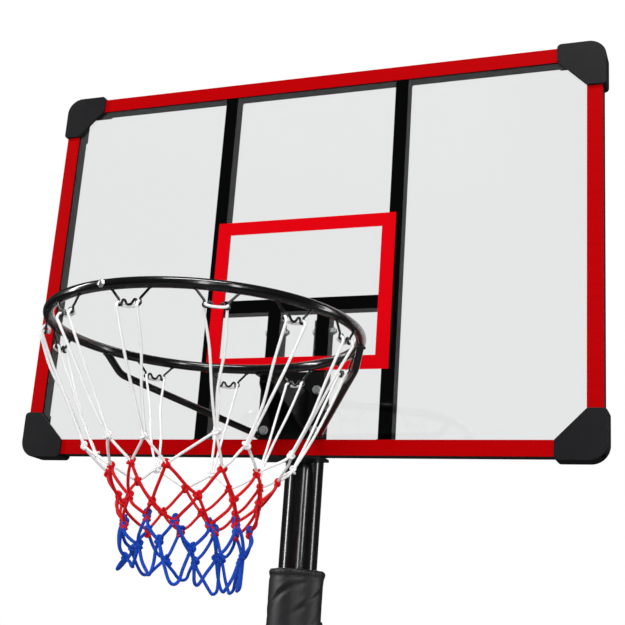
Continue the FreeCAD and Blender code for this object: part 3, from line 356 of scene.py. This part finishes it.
tree.links.new(black.outputs[2], shader.inputs["Base Color"])
dress(wheel_plastic, "wheel_left", "wheel_right")


# ---------------------------------------------------------------- net
# A knotted net of braided polyester cord in white, red and blue. Eleven loops hang on the hooks under the
# ring, and five rows of knots draw the cords in to a narrow open end.

HOOK_ANGLES = (-90, -61, -34, -7, 44, 75, 105, 136, 187, 214, 241)
# The hooks whose loops were pushed on from outside, so that the cord between the eyes lies inside the hook.
OUTSIDE_IN = (-90, -34, -7, 214, 241)
EYE_APART = 0.0155
EYE_FLOOR = 0.0188
LOOP_SHAPE = (
    # half of the way over a hook: share of EYE_APART, metres out of the net, metres above the ring's underside
    (-1.0, -0.0058, -0.0275), (-1.0, -0.0042, -0.0215), (-0.98, 0.0, -EYE_FLOOR), (-0.9, 0.0044, -0.0215),
    (-0.45, 0.0056, -0.0232),
)
LOOP_SWAY = 0.0035
CORDS_APART = 0.0015
SPARE, SPARE_PER_ROW = 0.001, 0.0018
STRAND_BOW, STRAND_BOW_PER_ROW = 0.002, 0.0012
STRAND_DROOP_PER_ROW = 0.001
STRAND_SWAY = 0.0014
UPPER_LUMP, LOWER_LUMP = 0.0022, -0.0034
KNOT_ROWS = (
    # knots under the hooks or between them, radius, height below the ring's middle, share of even spacing, dye
    (0.0, 0.160, -0.193, 0.1, 0),
    (0.5, 0.125, -0.223, 0.3, 1),
    (0.0, 0.106, -0.262, 0.5, 1),
    (0.5, 0.090, -0.296, 0.7, 2),
    (0.0, 0.083, -0.336, 0.8, 2),
)
PULLED_KNOTS = {
    # row and column of a knot that handling has pulled: degrees round the net, metres up
    (0, 0): (2, 0.000), (0, 1): (7, 0.013), (0, 2): (-3, 0), (0, 10): (6, 0.002), (1, 0): (-4, 0),
    (2, 0): (-4, -0.010), (2, 10): (4, 0), (4, 0): (3, 0.004), (4, 1): (2, 0.005), (4, 9): (2, -0.010),
}
NET_FOOT = -0.372
END_LOOP = (
    # share of the way from knot to knot, how much of the loop's lean it takes, share of the drop
    (0.09, 0, 0.25), (0.25, 0.5, 0.60), (0.37, 1, 0.90), (0.5, 1, 1.0), (0.63, 1, 0.90), (0.75, 0.5, 0.60),
    (0.91, 0, 0.25),
)
LOOPS_UNEVEN = 0.014
MOST_LEAN = 0.26
SWING_IN, SWING_OUT = -0.012, 0.014
LOOP_WAVE = 0.002
CUT_END = ((0, 0, 0), (0.006, -0.005, -0.012), (0.012, -0.004, -0.026), (0.022, 0.002, -0.032))
DYES = (
    # dye, its colour on the plaits' crests and its painted shade in the hollows between them, and how thick its
    # cord is
    ("white", "#FFFFFE", "#DEDEDE", 0.0042),
    ("red", "#EE0512", "#B4000A", 0.0047),
    ("blue", "#0A56D6", "#063294", 0.0050),
)

ring_low, ring_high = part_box("rim_ring")
ring_middle = (Vector(ring_low) + Vector(ring_high)) / 2
tube_radius = (ring_high[2] - ring_low[2]) / 2
ring_radius = (ring_high[0] - ring_low[0]) / 2 - tube_radius

count = len(HOOK_ANGLES)


def hook_angle(step):
    """The angle under hook number step, which may lie between two hooks or past the last one."""
    turns, share = divmod(step, count)
    first, part = int(share), share - int(share)
    near, far = HOOK_ANGLES[first], HOOK_ANGLES[(first + 1) % count] + (360 if first + 1 == count else 0)
    return near + (far - near) * part + 360 * turns


def net_point(degrees, radius, height):
    """A point round the net's axis."""
    turn = math.radians(degrees)
    return ring_middle + Vector((radius * math.cos(turn), radius * math.sin(turn), height))


def knot_point(row, step):
    """Where a knot sits: part of the way from under its hook to even spacing, and never quite in line."""
    offset, radius, height, even, dye = KNOT_ROWS[row]
    number = step + offset
    angle = hook_angle(number) * (1 - even) + (-90 + 360 * number / count) * even
    wander = random.Random(f"knot {row} {step % count}")
    slack = SPARE + SPARE_PER_ROW * row
    turned, lifted = PULLED_KNOTS.get((row, step % count), (0, 0))
    return net_point(angle + turned + wander.uniform(-1.5, 1.5), radius + wander.uniform(-1, 1) * slack,
                     height + lifted + wander.uniform(-1, 1) * slack)


cords = [[], [], []]
knots = [[], [], []]
for step in range(count):
    angle = HOOK_ANGLES[step]
    top = knot_point(0, step)
    side = Vector((-math.sin(math.radians(angle)), math.cos(math.radians(angle)), 0))
    out = Vector((math.cos(math.radians(angle)), math.sin(math.radians(angle)), 0))
    under = net_point(angle, ring_radius, -tube_radius)
    over = LOOP_SHAPE + tuple((-s, r, z) for s, r, z in reversed(LOOP_SHAPE))
    threaded = -1 if angle in OUTSIDE_IN else 1
    loop = [under + side * s * EYE_APART + out * r * threaded + Vector((0, 0, z)) for s, r, z in over]
    wander = random.Random(f"loop {step}")
    for end, sign in ((loop[0], -1), (loop[-1], 1)):
        sway = [Vector([wander.uniform(-1, 1) * LOOP_SWAY for _ in range(3)]) for _ in range(2)]
        bow = [top + (end - top) * share + sway[i] + out * STRAND_BOW for i, share in enumerate((0.33, 0.68))]
        cords[0].append([top + side * sign * CORDS_APART] + bow + [end])
    cords[0].append(loop)

for row in range(len(KNOT_ROWS)):
    dye = KNOT_ROWS[row][4]
    for step in range(count):
        here = knot_point(row, step)
        outward = (here - ring_middle) * Vector((1, 1, 0))
        facing = outward.normalized()
        if row > 1 and dye != KNOT_ROWS[row - 1][4]:
            knots[dye].append((here + Vector((0, 0, UPPER_LUMP)), facing))
            knots[KNOT_ROWS[row - 1][4]].append((here + Vector((0, 0, LOWER_LUMP)), facing))
        else:
            knots[dye].append((here, facing))
        if row + 1 == len(KNOT_ROWS):
            continue
        strand_dye = dye if row else 0
        for lean in (0, 1) if KNOT_ROWS[row][0] else (-1, 0):
            there = knot_point(row + 1, step + lean)
            wander = random.Random(f"strand {row} {step} {lean}")
            bulge = facing * (STRAND_BOW + STRAND_BOW_PER_ROW * row)
            droop = Vector((0, 0, -STRAND_DROOP_PER_ROW * row))
            bow = [here.lerp(there, share) + bulge + droop
                   + Vector([wander.uniform(-1, 1) * STRAND_SWAY for _ in range(3)]) for share in (0.3, 0.7)]
            cords[strand_dye].append([here] + bow + [there])

for step in range(count):
    left_knot, right_knot = knot_point(4, step), knot_point(4, step + 1)
    wander = random.Random(f"end loop {step}")
    foot = NET_FOOT + wander.uniform(-LOOPS_UNEVEN, LOOPS_UNEVEN)
    lean = wander.uniform(-MOST_LEAN, MOST_LEAN)
    swing = wander.uniform(SWING_IN, SWING_OUT)
    points = [left_knot]
    for share, leaning, drop in END_LOOP:
        point = left_knot.lerp(right_knot, share + lean * leaning)
        outward = ((point - ring_middle) * Vector((1, 1, 0))).normalized()
        low = ring_middle.z + foot
        points.append(Vector((point.x, point.y, point.z + (low - point.z) * drop))
                      + outward * (swing * drop + wander.uniform(-LOOP_WAVE, LOOP_WAVE)))
    cords[2].append(points + [right_knot])

# The blue cord's cut end is left hanging from a knot of the last row.
tail = knot_point(4, 0)
cords[2].append([tail + Vector(step) for step in CUT_END])


def tree_of(name, *sockets):
    """A new Geometry Nodes tree with those named inputs, and the sockets that give them."""
    made = bpy.data.node_groups.new(name, "GeometryNodeTree")
    made.interface.new_socket("Geometry", in_out="OUTPUT", socket_type="NodeSocketGeometry")
    made.interface.new_socket("Geometry", in_out="INPUT", socket_type="NodeSocketGeometry")
    for label, kind in sockets:
        made.interface.new_socket(label, in_out="INPUT", socket_type=f"NodeSocket{kind}")
    return made, made.nodes.new("NodeGroupInput").outputs


def grow(name, start, tree, body, *materials, **settings):
    """Run a Geometry Nodes tree on a mesh with those input settings, and keep what it makes as a plain mesh."""
    seed = bpy.data.objects.new(f"{name}_seed", start)
    bpy.context.collection.objects.link(seed)
    modifier = seed.modifiers.new("grow", "NODES")
    modifier.node_group = tree
    labels = {item.name.replace(" ", "_"): item.identifier
              for item in tree.interface.items_tree if item.in_out == "INPUT"}
    for label, value in settings.items():
        modifier[labels[label]] = value
    bpy.context.view_layer.update()
    seen = seed.evaluated_get(bpy.context.evaluated_depsgraph_get())
    made = bpy.data.objects.new(name, bpy.data.meshes.new_from_object(seen))
    bpy.data.objects.remove(seed)
    bpy.context.collection.objects.link(made)
    made.data.name = name
    made.parent = None
    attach(made, body)
    return made


def smooth(item):
    """Shade an object's faces smoothly."""
    item.data.polygons.foreach_set("use_smooth", [True] * len(item.data.polygons))


def lines(name, paths):
    """A mesh of separate lines through lists of points."""
    mesh = bpy.data.meshes.new(name)
    points, edges = [], []
    for path in paths:
        edges += [(len(points) + i, len(points) + i + 1) for i in range(len(path) - 1)]
        points += path
    mesh.from_pydata(points, edges, [])
    return mesh


# Braided cord: a round cord along each line, which carries where each point is round it and along it.
cord_tree, given = tree_of("braided_cord", ("Across", "Float"), ("Step", "Float"), ("Finish", "Material"))
strands = add(cord_tree, "GeometryNodeMeshToCurve", Mesh=given["Geometry"])
bent = add(cord_tree, "GeometryNodeCurveSplineType", {"spline_type": "CATMULL_ROM"}, Curve=strands.outputs[0])
fine = add(cord_tree, "GeometryNodeResampleCurve", {"mode": "LENGTH"},
           Curve=bent.outputs[0], Length=given["Step"])
along = add(cord_tree, "GeometryNodeSplineParameter")
marked = add(cord_tree, "GeometryNodeStoreNamedAttribute", {"data_type": "FLOAT", "domain": "POINT"},
             Geometry=fine.outputs[0], Name="along", _3=along.outputs["Length"])
radius = add(cord_tree, "ShaderNodeMath", {"operation": "MULTIPLY"}, _0=given["Across"], _1=0.5)
ring = add(cord_tree, "GeometryNodeCurvePrimitiveCircle", Radius=radius.outputs[0], Resolution=8)
spot = add(cord_tree, "GeometryNodeInputPosition")
rounded = add(cord_tree, "GeometryNodeStoreNamedAttribute", {"data_type": "FLOAT_VECTOR", "domain": "POINT"},
              Geometry=ring.outputs[0], Name="around", _3=spot.outputs[0])
body = add(cord_tree, "GeometryNodeCurveToMesh", Curve=marked.outputs[0], Profile_Curve=rounded.outputs[0],
           Fill_Caps=True)
real = add(cord_tree, "GeometryNodeRealizeInstances", Geometry=body.outputs[0])
done = add(cord_tree, "GeometryNodeSetMaterial", Geometry=real.outputs[0], Material=given["Finish"])
add(cord_tree, "NodeGroupOutput", Geometry=done.outputs[0])

# Knot: the same cord drawn into a tight overhand knot at each point, turned to face out of the net.
knot_tree, given = tree_of("cord_knot", ("Knot", "Object"), ("Size", "Float"), ("Finish", "Material"))
spots = add(knot_tree, "GeometryNodeMeshToPoints", Mesh=given["Geometry"])
shape = add(knot_tree, "GeometryNodeObjectInfo", Object=given["Knot"])
outward = add(knot_tree, "GeometryNodeInputNamedAttribute", {"data_type": "FLOAT_VECTOR"}, Name="outward")
facing = add(knot_tree, "FunctionNodeAlignRotationToVector", {"axis": "Z"}, Vector=outward.outputs[0])
spin = add(knot_tree, "FunctionNodeRandomValue", {"data_type": "FLOAT"}, _2=0.0, _3=6.28, Seed=5)
turn = add(knot_tree, "ShaderNodeCombineXYZ", Z=spin.outputs[1])
turned = add(knot_tree, "FunctionNodeRotateRotation", {"rotation_space": "LOCAL"},
             Rotation=facing.outputs[0], Rotate_By=turn.outputs[0])
placed = add(knot_tree, "GeometryNodeInstanceOnPoints", Points=spots.outputs[0],
             Instance=shape.outputs["Geometry"], Rotation=turned.outputs[0], Scale=given["Size"])
real = add(knot_tree, "GeometryNodeRealizeInstances", Geometry=placed.outputs[0])
done = add(knot_tree, "GeometryNodeSetMaterial", Geometry=real.outputs[0], Material=given["Finish"])
add(knot_tree, "NodeGroupOutput", Geometry=done.outputs[0])

KNOT_REACH = 0.0056
KNOT_STEPS = 48
KNOT_DEEP = 1.6

knot_line = []
for i in range(KNOT_STEPS + 1):
    t = 2 * math.pi * i / KNOT_STEPS
    knot_line.append(Vector((math.sin(t) + 2 * math.sin(2 * t), math.cos(t) - 2 * math.cos(2 * t),
                             -KNOT_DEEP * math.sin(3 * t))) * KNOT_REACH / 3)

net_parts = []
for number, (dye, light, painted_hollow_shade, cord_across) in enumerate(DYES):
    # Braided polyester: a soft sheen over sixteen plaits, each about 1.2 mm wide and drawn 2 mm wide to show.
    braid, tree, shader, place = surface(f"braided_polyester_{dye}", Roughness=0.75, Specular_IOR_Level=0.25,
                                         Sheen_Weight=0.04, Sheen_Roughness=0.4)
    length = add(tree, "ShaderNodeAttribute", {"attribute_name": "along"})
    spot = add(tree, "ShaderNodeAttribute", {"attribute_name": "around"})
    parts = add(tree, "ShaderNodeSeparateXYZ", Vector=spot.outputs["Vector"])
    turn = add(tree, "ShaderNodeMath", {"operation": "ARCTAN2"}, _0=parts.outputs[1], _1=parts.outputs[0])
    plait = add(tree, "ShaderNodeMath", {"operation": "MULTIPLY"}, _0=turn.outputs[0], _1=4.0)
    lay = add(tree, "ShaderNodeMath", {"operation": "MULTIPLY"}, _0=length.outputs["Fac"], _1=math.pi / 0.002)
    one_way = add(tree, "ShaderNodeMath", {"operation": "ADD"}, _0=plait.outputs[0], _1=lay.outputs[0])
    other_way = add(tree, "ShaderNodeMath", {"operation": "SUBTRACT"}, _0=plait.outputs[0], _1=lay.outputs[0])
    crest = add(tree, "ShaderNodeMath", {"operation": "SINE"}, _0=one_way.outputs[0])
    dip = add(tree, "ShaderNodeMath", {"operation": "SINE"}, _0=other_way.outputs[0])
    weave = add(tree, "ShaderNodeMath", {"operation": "MULTIPLY"}, _0=crest.outputs[0], _1=dip.outputs[0])
    height = add(tree, "ShaderNodeMapRange", Value=weave.outputs[0], From_Min=-1.0)
    bump = add(tree, "ShaderNodeBump", Height=height.outputs[0], Strength=0.6, Distance=0.0005)
    tree.links.new(bump.outputs[0], shader.inputs["Normal"])
    # Its colour is darker in the hollows between the plaits, and darker still in soft patches about 2 cm wide:
    # painted shade.
    patchy_shade_noise = add(tree, "ShaderNodeTexNoise", Vector=place, Scale=1 / 0.02, Detail=4.0)
    plait_shade = add(tree, "ShaderNodeMath", {"operation": "MULTIPLY"}, _0=height.outputs[0], _1=patchy_shade_noise.outputs[0])
    colour = add(tree, "ShaderNodeMix", {"data_type": "RGBA"}, Factor=plait_shade.outputs[0],
                 _6=paint(painted_hollow_shade), _7=paint(light))
    tree.links.new(colour.outputs[2], shader.inputs["Base Color"])

    strands = grow(f"net_cords_{dye}", lines("cord_lines", cords[number]), cord_tree, "upper",
                   Across=cord_across, Step=0.003, Finish=braid)
    knot_shape = grow("knot_shape", lines("knot_line", [knot_line]), cord_tree, "upper",
                      Across=cord_across, Step=0.0022, Finish=braid)
    spots = bpy.data.meshes.new("knot_spots")
    spots.from_pydata([where for where, outward in knots[number]], [], [])
    facing = spots.attributes.new("outward", "FLOAT_VECTOR", "POINT")
    for i, (where, outward) in enumerate(knots[number]):
        facing.data[i].vector = outward
    lumps = grow(f"net_knots_{dye}", spots, knot_tree, "upper", Knot=knot_shape, Size=1.0, Finish=braid)
    bpy.data.objects.remove(knot_shape)
    net_parts += [strands, lumps]

for part in net_parts:
    smooth(part)
    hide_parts("net")


# ---------------------------------------------------------------- pole pad
# A sleeve of vinyl-coated cloth over a foam tube, hemmed at both ends and sewn up the back, with an opening
# for the pull knob. It grips the middle pole.

VOXEL = 0.0045
CLOTH_FRAMES = 20
ROOM_FOR_WRINKLES = 0.0012
GATHERS = ((26, 1.0, 0.0), (15, 0.6, 1.3))
CREASE_REACH = 0.75
HEM_TALL = 0.011
HEM_PROUD = 0.0016
STITCH_GROOVE = 0.0018
GATHER_DEEP = 0.0007
SEAM_AT = math.pi / 2
SEAM_DEEP = 0.0016
SEAM_WIDE = 0.0028
GROOVE_AT = HEM_TALL + 0.002
GROOVE_WIDE = 0.0022
MOST_MOVED = 0.0014
CREASES = (
    # height of its middle, turn round the pole, rise per turn, width and depth
    (1.955, -1.2, 0.020, 0.0045, 0.0022), (1.930, -0.6, 0.034, 0.0055, 0.0022),
    (1.935, -1.9, 0.040, 0.0050, 0.0024), (1.870, -0.9, 0.045, 0.0070, 0.0015),
    (1.800, -2.2, -0.036, 0.0070, 0.0012), (1.700, -0.4, 0.030, 0.0080, 0.0014),
    (1.560, -1.5, -0.040, 0.0080, 0.0012), (1.420, -2.6, 0.032, 0.0080, 0.0013),
    (1.250, -0.8, 0.028, 0.0080, 0.0014), (1.100, -1.9, -0.034, 0.0080, 0.0012),
    (0.960, -0.3, 0.040, 0.0080, 0.0013), (0.860, -1.4, 0.024, 0.0060, 0.0015),
    (1.640, 1.4, 0.040, 0.0080, 0.0013), (1.330, 2.2, -0.030, 0.0080, 0.0012),
    (1.010, 1.1, 0.036, 0.0080, 0.0013),
)

pad_low, pad_high = (Vector(corner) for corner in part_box("pole_pad"))
pad_outside = (pad_high.x - pad_low.x) / 2
pad_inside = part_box("middle_pole")[1][0] + 0.0004

# Vinyl-coated cloth: black and soft-glossy, with a leather-like grain pressed into it (1 mm, drawn 2 mm).
coated_cloth, tree, shader, place = surface("vinyl_coated_cloth", IOR=1.5, Specular_IOR_Level=0.5)
cells = add(tree, "ShaderNodeTexVoronoi", {"feature": "SMOOTH_F1"}, Vector=place, Scale=1 / 0.002)
bump = add(tree, "ShaderNodeBump", Height=cells.outputs[0], Strength=0.3, Distance=0.0004)
tree.links.new(bump.outputs[0], shader.inputs["Normal"])
rub = add(tree, "ShaderNodeTexNoise", Vector=place, Scale=1 / 0.03, Detail=5.0)
gloss = add(tree, "ShaderNodeMapRange", Value=rub.outputs[0], To_Min=0.42, To_Max=0.58)
tree.links.new(gloss.outputs[0], shader.inputs["Roughness"])
black = add(tree, "ShaderNodeMix", {"data_type": "RGBA"}, Factor=rub.outputs[0],
            _6=paint("#0F0F11"), _7=paint("#18181B"))
tree.links.new(black.outputs[2], shader.inputs["Base Color"])

pad = bpy.data.objects.new("padded_sleeve", nodes["pole_pad"].data.copy())
bpy.context.collection.objects.link(pad)
shape = bmesh.new()
shape.from_mesh(pad.data)
bmesh.ops.remove_doubles(shape, verts=shape.verts, dist=0.0001)
shape.to_mesh(pad.data)
shape.free()


def settle(item):
    """Make an object's modifiers part of its mesh."""
    bpy.context.view_layer.update()
    seen = item.evaluated_get(bpy.context.evaluated_depsgraph_get())
    made = bpy.data.meshes.new_from_object(seen)
    item.modifiers.clear()
    item.data = made


remesh = pad.modifiers.new("even_mesh", "REMESH")
remesh.mode = "VOXEL"
remesh.voxel_size = VOXEL
settle(pad)
before = [vertex.co.copy() for vertex in pad.data.vertices]
outer = [i for i, point in enumerate(before) if math.hypot(point.x, point.y) > (pad_inside + pad_outside) / 2]

# The cloth is cut a little longer than the foam, so it lies in soft wrinkles; the foam keeps them shallow.
held = pad.vertex_groups.new(name="foam")
held.add([i for i in range(len(before)) if i not in set(outer)], 1.0, "REPLACE")
cloth = pad.modifiers.new("cloth", "CLOTH")
cloth.settings.vertex_group_mass = "foam"
cloth.settings.effector_weights.gravity = 0
cloth.settings.use_pressure = True
cloth.settings.uniform_pressure_force = 4
cloth.settings.shrink_min = -0.04
cloth.settings.bending_stiffness = 0.4
cloth.point_cache.frame_start = 1
cloth.point_cache.frame_end = CLOTH_FRAMES
for moment in range(1, CLOTH_FRAMES + 1):
    bpy.context.scene.frame_set(moment)
settle(pad)
bpy.context.scene.frame_set(1)

for i in range(len(before)):
    vertex = pad.data.vertices[i]
    moved = vertex.co - before[i]
    if moved.length > MOST_MOVED:
        vertex.co = before[i] + moved * (MOST_MOVED / moved.length)
    point = vertex.co
    reach = math.hypot(point.x, point.y)
    if reach < (pad_inside + pad_outside) / 2:
        continue
    turned = math.atan2(point.y, point.x)
    from_end = min(pad_high.z - point.z, point.z - pad_low.z)
    change = -ROOM_FOR_WRINKLES - SEAM_DEEP * math.exp(-((turned - SEAM_AT) * pad_outside / SEAM_WIDE) ** 2)
    if from_end < HEM_TALL:
        change += HEM_PROUD * math.sin(math.pi * max(from_end, 0) / HEM_TALL) ** 0.5
        gather = sum(share * math.sin(folds * turned + start) for folds, share, start in GATHERS)
        change += GATHER_DEEP * gather * math.sin(math.pi * max(from_end, 0) / HEM_TALL)
    change -= STITCH_GROOVE * math.exp(-((from_end - GROOVE_AT) / GROOVE_WIDE) ** 2)
    for level, turn, rise, wide, deep in CREASES:
        away = (turned - turn + math.pi) % (2 * math.pi) - math.pi
        line = level + rise * away
        fade = math.exp(-(away / CREASE_REACH) ** 2)
        change -= deep * fade * math.exp(-((point.z - line) / wide) ** 2)
        change += 0.5 * deep * fade * math.exp(-((point.z - line - 1.8 * wide) / wide) ** 2)
    scale = (reach + change) / reach
    point.x *= scale
    point.y *= scale

pad.data.materials.clear()
pad.data.materials.append(coated_cloth)
smooth(pad)
subdivide = pad.modifiers.new("finer", "SUBSURF")
subdivide.levels = subdivide.render_levels = 1
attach(pad, "base")
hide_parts("pole_pad")


# ---------------------------------------------------------------- stitching on the pad
# Bonded polyester thread: a lockstitch round each hem, and one down each side of the seam at the back.

STITCH_LONG = 0.0034
STITCH_PITCH = 0.0046
THREAD_ACROSS = 0.0009
ROWS_FROM_SEAM = 0.0045
CLEAR_OF_LOCK = 0.022
OUTSIDE = 0.08
HEM_STEPS = 90
SEAM_STEP = 0.008

cloth_faces = BVHTree.FromObject(pad, bpy.context.evaluated_depsgraph_get())
lock_low, lock_high = (Vector(corner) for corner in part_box("lock_housing"))


def on_cloth(turn, height):
    """The point where the thread lies on the cloth, found from outside, or None beside the pad's opening."""
    outward = Vector((math.cos(turn), math.sin(turn), 0))
    hit = cloth_faces.ray_cast(outward * OUTSIDE + Vector((0, 0, height)), -outward)[0]
    if hit is None or Vector((hit.x, hit.y)).length < (pad_inside + pad_outside) / 2:
        return None
    return hit + outward * THREAD_ACROSS * 0.2


seams = []
for level in (pad_low.z + GROOVE_AT, pad_high.z - GROOVE_AT):
    seams.append([on_cloth(2 * math.pi * i / HEM_STEPS, level) for i in range(HEM_STEPS + 1)])
for side in (-1, 1):
    turn = SEAM_AT + side * ROWS_FROM_SEAM / pad_outside
    for low, high in ((pad_low.z + HEM_TALL, lock_low.z - CLEAR_OF_LOCK),
                      (lock_high.z + CLEAR_OF_LOCK, pad_high.z - HEM_TALL)):
        steps = max(2, int((high - low) / SEAM_STEP))
        seams.append([on_cloth(turn, low + (high - low) * i / steps) for i in range(steps + 1)])

# Stitches: a short fat thread at even steps along each line, and a gap where it dives through the cloth.
stitch_tree, given = tree_of("lockstitch", ("Pitch", "Float"), ("Long", "Float"), ("Across", "Float"),
                             ("Finish", "Material"))
path = add(stitch_tree, "GeometryNodeMeshToCurve", Mesh=given["Geometry"])
spots = add(stitch_tree, "GeometryNodeCurveToPoints", {"mode": "LENGTH"}, Curve=path.outputs[0],
            Length=given["Pitch"])
thread = add(stitch_tree, "GeometryNodeMeshUVSphere", Segments=6, Rings=5, Radius=0.5)
size = add(stitch_tree, "ShaderNodeCombineXYZ", X=given["Across"], Y=given["Across"], Z=given["Long"])
laid = add(stitch_tree, "GeometryNodeInstanceOnPoints", Points=spots.outputs[0], Instance=thread.outputs[0],
           Rotation=spots.outputs["Rotation"], Scale=size.outputs[0])
real = add(stitch_tree, "GeometryNodeRealizeInstances", Geometry=laid.outputs[0])
done = add(stitch_tree, "GeometryNodeSetMaterial", Geometry=real.outputs[0], Material=given["Finish"])
add(stitch_tree, "NodeGroupOutput", Geometry=done.outputs[0])

# Polyester thread: near-black, a little shiny, with a 0.5 mm twist.
thread_black, tree, shader, place = surface("bonded_polyester_thread", Roughness=0.5, Sheen_Weight=0.2)
twist = add(tree, "ShaderNodeTexNoise", Vector=place, Scale=1 / 0.0005, Detail=1.0)
shade = add(tree, "ShaderNodeMix", {"data_type": "RGBA"}, Factor=twist.outputs[0],
            _6=paint("#1A1A1C"), _7=paint("#333337"))
tree.links.new(shade.outputs[2], shader.inputs["Base Color"])

stitches = grow("pad_stitches", lines("seam_lines", [[spot for spot in seam if spot] for seam in seams]),
                stitch_tree, "base", Pitch=STITCH_PITCH, Long=STITCH_LONG, Across=THREAD_ACROSS,
                Finish=thread_black)
smooth(stitches)
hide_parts("pole_pad")


# ---------------------------------------------------------------- weld beads
# Small ripples of molten steel left where the hooks and braces meet the ring and the plate, and where the
# uprights meet the frame. They were painted over with the rest.

HOOK_HALF_SPAN = 0.029
BEAD_STEP = 0.0019
FRAME_BEAD = 0.0019
HOOK_BEAD = 0.0012
ROUND_HOOK_WIRE = 0.0022
ROUND_BRACE_TOP = 0.0068
ROUND_BRACE_ROOT = 0.0052
# Degrees round the ring from its back to a brace, and where a brace meets the plate.
BRACE_SPOKE = 68
BRACE_ROOT_X, BRACE_ROOT_Z = 0.060, 2.213


def circle(centre, radius, across, over, pieces=20):
    """A closed line round a point, in the plane of two directions."""
    turns = [2 * math.pi * i / pieces for i in range(pieces + 1)]
    return [centre + (across * math.cos(turn) + over * math.sin(turn)) * radius for turn in turns]


east, north, zenith = Vector((1, 0, 0)), Vector((0, 1, 0)), Vector((0, 0, 1))
hook_beads = []
for degrees in HOOK_ANGLES:
    turn = math.radians(degrees)
    side = Vector((-math.sin(turn), math.cos(turn), 0))
    under = net_point(degrees, ring_radius, -tube_radius)
    for sign in (-1, 1):
        foot = under + side * sign * HOOK_HALF_SPAN
        hook_beads.append(circle(foot, ROUND_HOOK_WIRE, east, north, 12))

rim_beads = []
plate_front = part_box("rim_plate")[0][1]
for sign in (-1, 1):
    meeting = net_point(90 - sign * BRACE_SPOKE, ring_radius, -tube_radius)
    rim_beads.append(circle(meeting, ROUND_BRACE_TOP, east, north))
    root = Vector((sign * BRACE_ROOT_X, plate_front, BRACE_ROOT_Z))
    rim_beads.append(circle(root, ROUND_BRACE_ROOT, east, zenith))

frame_beads = []
for name in ("upright_left", "upright_right", "inner_upright_left", "inner_upright_right"):
    low, high = (Vector(corner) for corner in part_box(name))
    for level in (low.z, high.z):
        corners = [(low.x, low.y), (low.x, high.y), (high.x, high.y), (high.x, low.y)]
        frame_beads.append([Vector((x, y, level)) for x, y in corners])

# Weld bead: overlapping drops along a line, each a little different in size.
bead_tree, given = tree_of("weld_bead", ("Step", "Float"), ("Size", "Float"), ("Finish", "Material"))
path = add(bead_tree, "GeometryNodeMeshToCurve", Mesh=given["Geometry"])
spots = add(bead_tree, "GeometryNodeCurveToPoints", {"mode": "LENGTH"},
            Curve=path.outputs[0], Length=given["Step"])
drop = add(bead_tree, "GeometryNodeMeshUVSphere", Segments=8, Rings=5, Radius=1.0)
least = add(bead_tree, "ShaderNodeMath", {"operation": "MULTIPLY"}, _0=given["Size"], _1=0.85)
most = add(bead_tree, "ShaderNodeMath", {"operation": "MULTIPLY"}, _0=given["Size"], _1=1.15)
size = add(bead_tree, "FunctionNodeRandomValue", {"data_type": "FLOAT"},
           _2=least.outputs[0], _3=most.outputs[0], Seed=3)
laid = add(bead_tree, "GeometryNodeInstanceOnPoints", Points=spots.outputs[0], Instance=drop.outputs[0],
           Rotation=spots.outputs["Rotation"], Scale=size.outputs[1])
real = add(bead_tree, "GeometryNodeRealizeInstances", Geometry=laid.outputs[0])
done = add(bead_tree, "GeometryNodeSetMaterial", Geometry=real.outputs[0], Material=given["Finish"])
add(bead_tree, "NodeGroupOutput", Geometry=done.outputs[0])

for name, paths, size, finish, coat in (
        ("hook_welds", hook_beads, HOOK_BEAD, enamel, "black_gloss_steel"),
        ("rim_welds", rim_beads, FRAME_BEAD, enamel, "black_gloss_steel"),
        ("frame_welds", frame_beads, FRAME_BEAD, powder_coat, "black_steel")):
    bead = grow(name, lines(f"{name}_lines", paths), bead_tree, "upper",
                Step=BEAD_STEP, Size=size, Finish=finish)
    smooth(bead)
